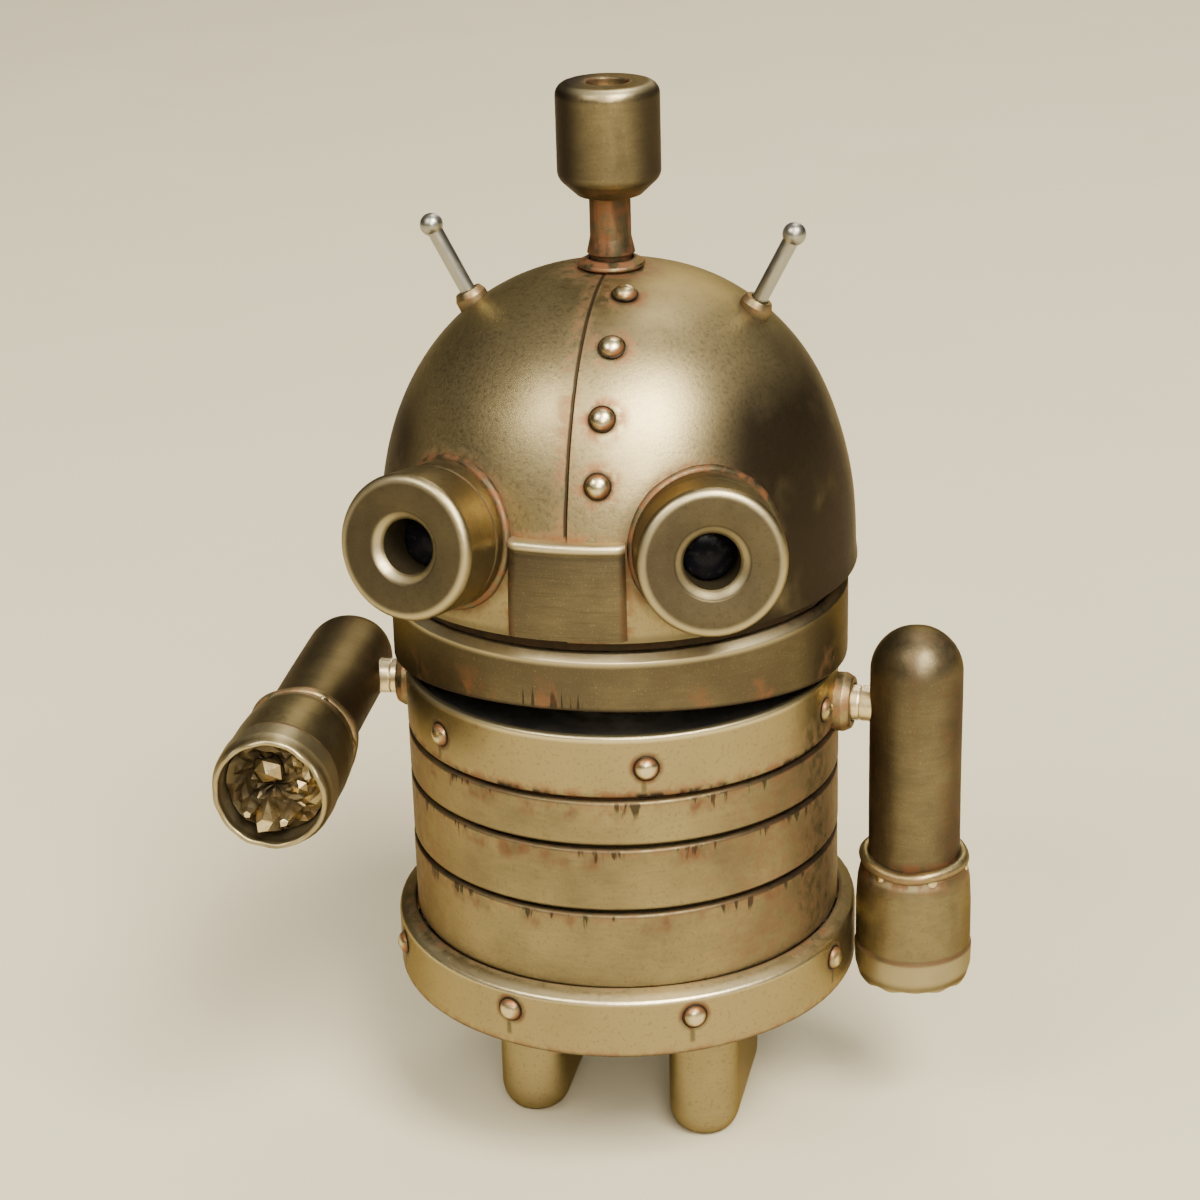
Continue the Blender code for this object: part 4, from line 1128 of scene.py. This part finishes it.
# %% Cut a slotted screw head
def slotted_disc(radius, low, high, slot_half, slot_depth, steps=28):
    """A low domed disc, with a slot along X."""
    bm = bmesh.new()
    slot_walls = [slot_half, slot_half + 0.02]
    evenly = [radius * i / steps for i in range(-steps, steps + 1)]
    marks = [y for y in evenly if abs(abs(y) - slot_half) > 0.03]
    marks = sorted(marks + slot_walls + [-wall for wall in slot_walls])
    rows = []
    for y in marks:
        reach = math.sqrt(max(radius ** 2 - y ** 2, 0.0))
        row = []
        for i in range(steps + 1):
            x = reach * (2 * i / steps - 1)
            crown = 0.35 * (1 - (x * x + y * y) / radius ** 2)
            depth = slot_depth if abs(y) <= slot_half + 0.001 else 0.0
            row.append(bm.verts.new(Vector((x, y, high - 0.35 + crown - depth)) * MM))
        rows.append(row)
    for first, second in zip(rows, rows[1:]):
        for a in range(steps):
            bm.faces.new((first[a], first[a + 1], second[a + 1], second[a]))
    bmesh.ops.remove_doubles(bm, verts=bm.verts, dist=1e-7)
    rim = [edge for edge in bm.edges if edge.is_boundary]
    skirt = bmesh.ops.extrude_edge_only(bm, edges=rim)["geom"]
    for vert in (item for item in skirt if isinstance(item, bmesh.types.BMVert)):
        vert.co.z = low * MM
    underside = [item for item in skirt if isinstance(item, bmesh.types.BMEdge) and item.is_boundary]
    bmesh.ops.contextual_create(bm, geom=underside)
    bmesh.ops.recalc_face_normals(bm, faces=bm.faces)
    return bm


SCREW_R = 1.75
SLOT_HALF = 0.25
SLOT_DEPTH = 0.55


def screw_wash(spot):
    return spot.finish.soft(abs(spot.y), 0.34, 0.24) * 0.85, 0.3


screw_high = box_mm("knob_screw")[1].z
screw_shape = slotted_disc(SCREW_R, knob_high - RECESS_DEPTH + 0.1, screw_high, SLOT_HALF, SLOT_DEPTH)
screw_paint = gold_paint("screw_paint", screw_wash, 0.9, 4.0)
piece("knob_screw_head", screw_shape, screw_paint, "winder", ["knob_screw"])
print("screw head", 2 * SCREW_R, "mm across")

# %% [markdown]
# ## Arms
#
# Each arm is a tube with a round top, hung on a bright pin. Its local Z runs along the arm with the pin at
# zero, so one profile and one paint serve both: the left arm hangs, the right one was set forward. The pin
# turns in a bush on the body, so the bush stays with the body and the pin goes with the arm.

# %% Places of the shoulders
SHOULDER_X = 30.05
SHOULDER_Z = 46.0
TOE_IN = math.radians(3.4)
RAISED = {"l": 0.0, "r": math.radians(90)}
PIN_R = 1.8
PIN_HEAD_R = 2.6
BUSH_R = 3.0
ARM_R = 4.65
ARM_WALL = 0.6
ARM_TOP = 4.0
WRIST = -16.3
HAND_LOW = -29.7
HAND_R = 5.9


def shoulder_place(side, raised):
    return set_at(side * SHOULDER_X, 0, SHOULDER_Z, -side * TOE_IN, -raised)


def pin_place(side, raised):
    """A turned piece's own +Z points from the pin's middle towards the body."""
    return shoulder_place(side, raised) @ Matrix.Rotation(-side * math.pi / 2, 4, "Y")


for side, name in ((1, "l"), (-1, "r")):
    low, high = box_mm(f"shoulder_pin_{name}")
    middle = (low + high) / 2
    print("shoulder pin", name, "in the frame at height", round(middle.z, 2), "and drawn at", SHOULDER_Z)

# %% Turn the arm tube, the pin and the bush
arm_outline = [(0, ARM_TOP + ARM_R)] + arc(0, ARM_TOP, ARM_R, 89, 0, 24)
arm_outline += [(ARM_R, z) for z in (0.0, -5.0, -10.0, WRIST - 1.4)] + [(ARM_R - ARM_WALL, WRIST - 1.4)]
arm_outline += arc(0, ARM_TOP, ARM_R - ARM_WALL, 0, 89, 8) + [(0, ARM_TOP + ARM_R - ARM_WALL)]
reach = SHOULDER_X - BODY_R
pin_outline = rounded([
    (0, 0.2), (PIN_R, 0.2), (PIN_R, reach - 2.6), (PIN_R - 0.15, reach - 2.45), (PIN_R, reach - 2.3),
    (PIN_R, reach + 2.2), (PIN_HEAD_R, reach + 2.2), (PIN_HEAD_R, reach + 3.2), (0, reach + 3.2),
])
bush_outline = rounded([
    (PIN_R + 0.15, reach - 1.7, 0.1), (BUSH_R - 0.4, reach - 1.7, 0.3), (BUSH_R, reach - 0.9, 0.2),
    (BUSH_R, reach + 0.3), (PIN_R + 0.15, reach + 0.3),
], closed=True)


def arm_wash_and_shade(spot):
    finish = spot.finish
    # Painted shade: the arm is darkened and reddened down both its sides.
    edge = finish.soft(abs(spot.x), 2.4, 4.5) * finish.soft(spot.z, ARM_TOP + 2, ARM_TOP - 1)
    wrist = finish.soft(spot.z, WRIST + 1.4, WRIST + 0.3)
    runs = finish.soft(finish.noise(spot.stretched(1, 1, 0.1), 0.45, 3.0), 0.5, 0.7)
    return finish.most(wrist * 0.45, runs * 0.3, edge * 0.6), finish.most(wrist, edge * 0.4, runs * 0.3)


def bush_wash(spot):
    return spot.finish.soft(spot.radius, 2.3, 2.0) * 0.8, 0.7


arm_paint = gold_paint("arm_paint", arm_wash_and_shade, 0.26, 11.0, rough=0.4)
pin_steel = bright_steel("shoulder_pin_steel", (0.86, 0.72, 0.44))
bush_paint = gold_paint("bush_paint", bush_wash, 0.6, 5.0)
for side, name in ((1, "l"), (-1, "r")):
    raised = RAISED[name]
    body = f"arm_{name}"
    piece(f"arm_tube_{name}", lathe(arm_outline, even_turns(72), warp=uneven(side, 0.03)), arm_paint, body,
          [f"upper_arm_{name}"], shoulder_place(side, raised))
    piece(f"shoulder_pin_{name}_steel", lathe(pin_outline, even_turns(40)), pin_steel, body,
          [f"shoulder_pin_{name}"], pin_place(side, raised))
    piece(f"shoulder_bush_{name}_tin", lathe(bush_outline, even_turns(48), True), bush_paint, "body",
          [f"shoulder_bush_{name}"], pin_place(side, 0.0))
print("arm tube", 2 * ARM_R, "mm across")

# %% [markdown]
# ## Hands
#
# The hand is a cuff that swells to a cup, with a beaded wrist ring and small studs. Inside the cup sits a
# claw of torn, cast scraps. Scraps are faceted and catch single flashes of light, so they are rough lumps
# and jagged fingers with flat faces, made from seeded random numbers so that each run gives the same hand.


# %% Make the cuff and the wrist ring
def cuff_warp(turn, r, z):
    r, z = uneven(8, 0.04)(turn, r, z)
    torn = 0.12 * math.sin(3 * turn + 1) + 0.06 * math.sin(8 * turn) + 0.08 * math.sin(13 * turn + 2)
    return r, z + torn * step_up(-z, 28.4, 29.7)


def collar_warp(turn, r, z):
    dip = 0.5 * max(0, math.cos(turn)) ** 8
    return r + 0.08 * math.sin(6 * turn), z + 0.1 * math.sin(5 * turn + 0.8) - dip


cuff_corners = [
    (ARM_R + 0.1, WRIST - 0.2), (5.3, WRIST - 0.3, 0.4), (5.75, WRIST - 2.6, 2.0), (HAND_R, WRIST - 5.2, 3.0),
    (HAND_R, HAND_LOW + 3.9, 0.6), (HAND_R + 0.12, HAND_LOW + 3.5, 0.3), (HAND_R + 0.05, HAND_LOW + 1.4, 0.8),
    (HAND_R - 0.35, HAND_LOW, 0.25), (HAND_R - 0.8, HAND_LOW, 0.2), (HAND_R - 0.95, HAND_LOW + 2.6),
    (HAND_R - 0.95, WRIST - 4.4), (ARM_R + 0.1, WRIST - 2.2),
]
ring_outline = arc(ARM_R + 0.42, WRIST - 0.05, 0.62, 0, 345, 15)


def cuff_wash(spot):
    finish = spot.finish
    under_ring = finish.soft(spot.z, WRIST - 2.6, WRIST - 0.9)
    fold = finish.soft(abs(spot.z - HAND_LOW - 3.75), 0.4, 0.1)
    cup = finish.soft(spot.radius, HAND_R - 0.6, HAND_R - 0.9) * finish.soft(spot.z, HAND_LOW + 3, HAND_LOW)
    runs = finish.soft(finish.noise(spot.stretched(1, 1, 0.3), 0.3, 3.0), 0.48, 0.7)
    dark = finish.most(under_ring * 0.5, fold * 0.35, cup * 0.25, runs * 0.28)
    return dark, finish.most(under_ring, fold * 0.6)


# Painted highlight: pale bands round the cup, under the wrist ring at the front and along the lower rim.
def cuff_highlight(spot):
    finish = spot.finish
    band = finish.soft(abs(spot.z - HAND_LOW - 2.2), 1.6, 0.9) * 0.4
    below_ring = finish.soft(abs(spot.z - WRIST + 1.0), 0.9, 0.3) * finish.soft(spot.y, -3.5, -5)
    return finish.most(band, below_ring, finish.soft(abs(spot.z - HAND_LOW), 0.5, 0.1) * 0.4)


def wrist_wash(spot):
    return 0.12, spot.finish.soft(spot.z, WRIST + 0.3, WRIST - 0.4) * 0.5


cuff_paint = gold_paint("cuff_paint", cuff_wash, 0.5, 12.0, cuff_highlight)
wrist_paint = gold_paint("wrist_ring_paint", wrist_wash, 0.8)
STUDS = 6
for side, name in ((1, "l"), (-1, "r")):
    place = shoulder_place(side, RAISED[name])
    cuff_shape = lathe(rounded(cuff_corners, closed=True), closed=True, warp=cuff_warp)
    piece(f"hand_cuff_{name}_tin", cuff_shape, cuff_paint, f"arm_{name}", [f"hand_cuff_{name}"], place)
    ring_shape = lathe(ring_outline, even_turns(72), True, collar_warp)
    piece(f"wrist_ring_{name}", ring_shape, wrist_paint, f"arm_{name}", place=place)
    for i in range(STUDS):
        turn = math.tau * (i + 0.5) / STUDS
        at = Matrix.Translation(Vector((5.2 * math.sin(turn), -5.2 * math.cos(turn), WRIST - 0.9)) * MM)
        aim_out = Matrix.Rotation(turn, 4, "Z") @ Matrix.Rotation(math.radians(90), 4, "X")
        stud = rivet_shape(0.5, 0.5)
        piece(f"wrist_stud_{name}_{i + 1}", stud, rivet_paint, f"arm_{name}", place=place @ at @ aim_out)
print("cuffs with", STUDS, "studs each")


# %% Cast the claws
def add_lump(bm, middle, size, rng):
    """A faceted scrap: a small ball whose points are pushed in and out."""
    made = bmesh.ops.create_icosphere(bm, subdivisions=1, radius=1.0)["verts"]
    stretch = Vector((rng.uniform(0.8, 1.25), rng.uniform(0.8, 1.25), rng.uniform(0.7, 1.1)))
    for vert in made:
        push = size * rng.uniform(0.82, 1.08)
        vert.co = (Vector(middle) + vert.co * stretch * push) * MM


def add_finger(bm, foot, lean, length, width, rng, sides=5, rings=3):
    """A jagged, tapering finger, capped at both ends, with its foot sunk in the plug."""
    loops = []
    for k in range(rings):
        share = k / (rings - 1)
        loop = []
        for i in range(sides):
            turn = math.tau * i / sides
            r = width * (1 - 0.62 * share) * rng.uniform(0.72, 1.15)
            z = -length * share + rng.uniform(-0.15, 0.15)
            point = Vector((r * math.sin(turn), -r * math.cos(turn), z))
            point += Vector(foot) + Vector(lean) * share
            loop.append(bm.verts.new(point * MM))
        loops.append(loop)
    for first, second in zip(loops, loops[1:]):
        for i in range(sides):
            j = (i + 1) % sides
            bm.faces.new((first[i], first[j], second[j], second[i]))
    bm.faces.new(loops[0])
    bm.faces.new(loops[-1])


def claw_shape(seed):
    rng = random.Random(seed)
    floor_z = HAND_LOW + 2.6
    cup_r = HAND_R - 1.1
    bm = lathe([(0, floor_z + 6), (cup_r, floor_z + 6), (cup_r, floor_z)]
               + [(cup_r * (1 - i / 8), floor_z) for i in range(1, 8)] + [(0, floor_z)], even_turns(28))
    for vert in bm.verts:
        if vert.co.z < (floor_z + 1) * MM:
            vert.co.z += rng.uniform(-0.35, 0.35) * MM
    for turn, out, width, length in ((3.3, 2.8, 2.3, 4.4), (2.6, 3.1, 1.25, 3.8), (4.0, 3.1, 1.25, 3.6)):
        foot = (out * math.sin(turn), -out * math.cos(turn), floor_z + 0.6)
        inward = Vector((-math.sin(turn), math.cos(turn), 0)) * 0.25
        add_finger(bm, foot, inward, length, width, rng)
    for turn, out, size in ((-0.2, 1.9, 1.6), (1.5, 2.6, 1.0), (0.7, 3.5, 0.9)):
        middle = (out * math.sin(turn), -out * math.cos(turn), floor_z - 0.35 * size)
        add_lump(bm, middle, size, rng)
    bmesh.ops.recalc_face_normals(bm, faces=bm.faces)
    return bm


def claw_wash_and_shade(spot):
    finish = spot.finish
    # Painted shade: the claw is darkened deep in the cup, most on one side.
    deep_shade = finish.soft(spot.z, HAND_LOW + 1.5, HAND_LOW + 2.7) * finish.soft(spot.x, 4.2, 0.0)
    return finish.most(deep_shade * 0.88, finish.soft(finish.noise(spot.place, 0.9, 2.0), 0.55, 0.7) * 0.25), 0.2


# Painted highlight: the tips of the scraps are painted pale gold.
def claw_tip_highlight(spot):
    return spot.finish.soft(spot.z, HAND_LOW + 1.6, HAND_LOW + 0.2)


claw_paint = gold_paint("claw_paint", claw_wash_and_shade, 0.95, 13.0, claw_tip_highlight, 0.28)
for seed, (side, name) in enumerate(((1, "l"), (-1, "r")), 21):
    place = shoulder_place(side, RAISED[name])
    piece(f"claw_{name}_cast", claw_shape(seed), claw_paint, f"arm_{name}", [f"claw_{name}"], place,
          faceted=True)
print("the left claw ends", round(SHOULDER_Z - box_mm("claw_l")[0].z, 1), "mm below its pin in the frame")

# %% [markdown]
# ## Feet
#
# Each foot is a long shoe with round ends. The sole is flat, because the toy rests and walks on it, and its
# edge is rolled under in a generous curve. From the front a foot looks like a soft thumb. The paint is darker
# and redder near the top, where the foot goes up under the base band.

# %% Loft the feet
LEG_R = 3.7
SOLE_INSET = 1.9


def shoe_shape(node):
    """A stadium-shaped loft. Its curve under the toe is a quarter of an ellipse."""
    low, high = box_mm(node)
    middle_x = (low.x + high.x) / 2
    front = low.y - AXIS_Y + LEG_R
    rear = high.y - AXIS_Y - LEG_R
    levels = [(SOLE_INSET * (1 - math.sin(a)), 3.0 * (1 - math.cos(a)))
              for a in (math.pi / 2 * i / 10 for i in range(11))]
    levels += [(0.0, z) for z in (6, 9, 12, 15)] + [(0.15, high.z - 0.4), (0.5, high.z)]
    bm = bmesh.new()
    loops = []
    half = 20
    for inset, z in levels:
        loop = []
        for i in range(2 * half):
            back_end = i < half
            turn = math.pi * (i % half) / (half - 1) + (0 if back_end else math.pi)
            r = LEG_R - inset
            y = (rear if back_end else front) + r * math.sin(turn)
            loop.append(bm.verts.new(Vector((middle_x + r * math.cos(turn), y, z)) * MM))
        loops.append(loop)
    bm.faces.new(loops[0])
    bm.faces.new(loops[-1])
    for lower, upper in zip(loops, loops[1:]):
        for i in range(2 * half):
            j = (i + 1) % (2 * half)
            bm.faces.new((lower[i], lower[j], upper[j], upper[i]))
    bmesh.ops.recalc_face_normals(bm, faces=bm.faces)
    return bm


def foot_masks(spot):
    finish = spot.finish
    scuff = finish.soft(spot.z, 1.6, 0.0) * finish.soft(finish.noise(spot.place, 0.5, 3.0), 0.4, 0.65)
    # Darker and redder towards the top, where the foot goes up under the base band.
    high = finish.soft(spot.z, 12.5, 16.5)
    return finish.most(scuff * 0.45, high * 0.4), finish.most(high * 0.6, scuff * 0.5)


foot_paint = gold_paint("foot_paint", foot_masks, 0.9, 14.0)
for name in ("l", "r"):
    piece(f"foot_{name}_tin", shoe_shape(f"foot_{name}"), foot_paint, f"leg_{name}", [f"foot_{name}"])
print("feet are", 2 * LEG_R, "mm wide")

# %% [markdown]
# ## The clockwork inside
#
# The gears, plates and spindles are already the right shape in the frame, so they stay and only get real
# finishes: brushed brass for the plates and gears, turned steel for the shafts and brackets, and the blue
# and brown temper colours of spring steel. They differ in colour, in roughness and in their brush marks. The
# plate that closes the head from below is painted dark brown as painted shade, because it shows as a line in
# the gap above the jaw.


# %% Finishes for the frame's own nodes
def worked_metal(name, clean, tarnish, rough, grain):
    """Brushed metal with a cloudy tarnish. Grain stretches the brush marks."""
    finish = Finish(name, Metallic=1.0)
    spot = Spot(finish)
    brushed = finish.noise(spot.stretched(*grain), 1.0, 3.0)
    clouds = finish.soft(finish.noise(spot.place, 0.35, 3.0), 0.42, 0.68)
    finish.shade(Base_Color=finish.mix(clouds * 0.7, clean, tarnish))
    finish.shade(Roughness=rough + 0.2 * (brushed - 0.5) + 0.15 * clouds)
    finish.relief(brushed, 0.012)
    return finish.material


STEEL, DULL_STEEL = (0.50, 0.49, 0.47), (0.24, 0.20, 0.16)
BRASS, DULL_BRASS = (0.80, 0.60, 0.27), (0.42, 0.27, 0.11)
TEMPER_BLUE, TEMPER_BROWN = (0.05, 0.09, 0.22), (0.16, 0.10, 0.07)
hidden_finishes = {
    "plain_steel": worked_metal("plain_turned_steel", STEEL, DULL_STEEL, 0.38, (6, 0.6, 6)),
    "clock_brass": worked_metal("clock_brass", BRASS, DULL_BRASS, 0.27, (0.5, 7, 2)),
    "blued_steel": worked_metal("blued_spring_steel", TEMPER_BLUE, TEMPER_BROWN, 0.24, (1, 1, 8)),
}
dressed = 0
for row in frame["record"]["subparts"]:
    if row["material_slot"] in hidden_finishes:
        for slot in frame["nodes"][row["node"]].material_slots:
            slot.material = hidden_finishes[row["material_slot"]]
        dressed += 1
# Painted shade: the plate under the head is painted dark brown.
head_plate_painted_shade = gold_paint("head_plate_shade_paint", lambda spot: (0.92, 0.9), 0.1, 6.0)
for slot in frame["nodes"]["head_plate"].material_slots:
    slot.material = head_plate_painted_shade
print("finished", dressed, "nodes of the clockwork;", len(made_pieces), "pieces made")

# %% [markdown]
# ## Floor and light
#
# The toy stands on pale, warm paper. One large key light, high on the robot's left, makes the broad highlight
# on the dome and the one on top of the arm. Two small fills in front lift the shaded side, and two weak
# panels behind and above draw the edges. The room is dim and warm, and brighter overhead than at the
# horizon, so that the metal has something dark to reflect and the gold looks deep.

# %% Lay the floor
FLOOR_R = 4.0
PAPER_SHADE = (0.56, 0.505, 0.355)
PAPER_LIGHT = (0.60, 0.545, 0.395)
paper = Finish("pale_paper", Metallic=0.0)
fibres = paper.noise(Spot(paper).place, 0.9, 3.0)
tone = paper.noise(Spot(paper).place, 0.02, 2.0)
paper.shade(Base_Color=paper.mix(tone, PAPER_SHADE, PAPER_LIGHT), Roughness=0.7 + 0.2 * fibres)
paper.relief(fibres, 0.03)
floor_mesh = bmesh.new()
bmesh.ops.create_circle(floor_mesh, cap_ends=True, segments=96, radius=FLOOR_R)
floor_data = bpy.data.meshes.new("floor")
floor_mesh.to_mesh(floor_data)
floor_mesh.free()
floor_data.materials.append(paper.material)
floor = bpy.data.objects.new("floor", floor_data)
bpy.context.scene.collection.objects.link(floor)
floor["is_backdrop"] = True
print("paper floor", 2 * FLOOR_R, "m across")


# %% Hang the lights
def soft_light(name, turn, rise, away, size, power, colour):
    """A square light that faces the robot's chest. Turn and rise are in degrees."""
    data = bpy.data.lights.new(name, "AREA")
    data.size = size
    data.energy = power
    data.color = colour
    light = bpy.data.objects.new(name, data)
    bpy.context.scene.collection.objects.link(light)
    a, e = math.radians(turn), math.radians(rise)
    out = Vector((math.sin(a) * math.cos(e), -math.cos(a) * math.cos(e), math.sin(e)))
    light.location = out * away + Vector((0, 0, 0.05))
    light.rotation_mode = "QUATERNION"
    light.rotation_quaternion = out.to_track_quat("Z", "Y")
    return light


soft_light("key_light", 42, 52, 2.0, 0.8, 92, (1.0, 0.95, 0.83))
soft_light("left_fill", -34, 48, 0.9, 0.3, 5.0, (1.0, 0.94, 0.82))
soft_light("front_fill", 19, 31, 0.9, 0.34, 7.0, (1.0, 0.94, 0.82))
soft_light("back_panel", 176, 27, 1.2, 0.5, 3.0, (1.0, 0.95, 0.84))
soft_light("top_panel", 170, 64, 1.0, 0.4, 3.2, (1.0, 0.95, 0.84))

world = bpy.data.worlds.new("dim_warm_room")
bpy.context.scene.world = world
world.use_nodes = True
sky_nodes = world.node_tree.nodes
sky = sky_nodes["Background"]
direction = sky_nodes.new("ShaderNodeTexCoord")
upward = sky_nodes.new("ShaderNodeSeparateXYZ")
world.node_tree.links.new(direction.outputs["Generated"], upward.inputs[0])
ceiling = sky_nodes.new("ShaderNodeMapRange")
ceiling.interpolation_type = "SMOOTHSTEP"
for socket, value in (("From Min", 0.3), ("From Max", 0.85), ("To Min", 0.06), ("To Max", 0.3)):
    ceiling.inputs[socket].default_value = value
world.node_tree.links.new(upward.outputs["Z"], ceiling.inputs["Value"])
world.node_tree.links.new(ceiling.outputs["Result"], sky.inputs["Strength"])
sky.inputs["Color"].default_value = (1.0, 0.94, 0.84, 1.0)
print("five soft lights and a dim room")

# %% [markdown]
# ## The size of the looks
#
# The looks must not make the robot bigger than its mechanics. We print the size of every shown piece apart
# from the floor, in millimetres.

# %% Print the visual size
low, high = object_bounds()
print("visual size in mm:", [round(side / MM, 1) for side in high - low])
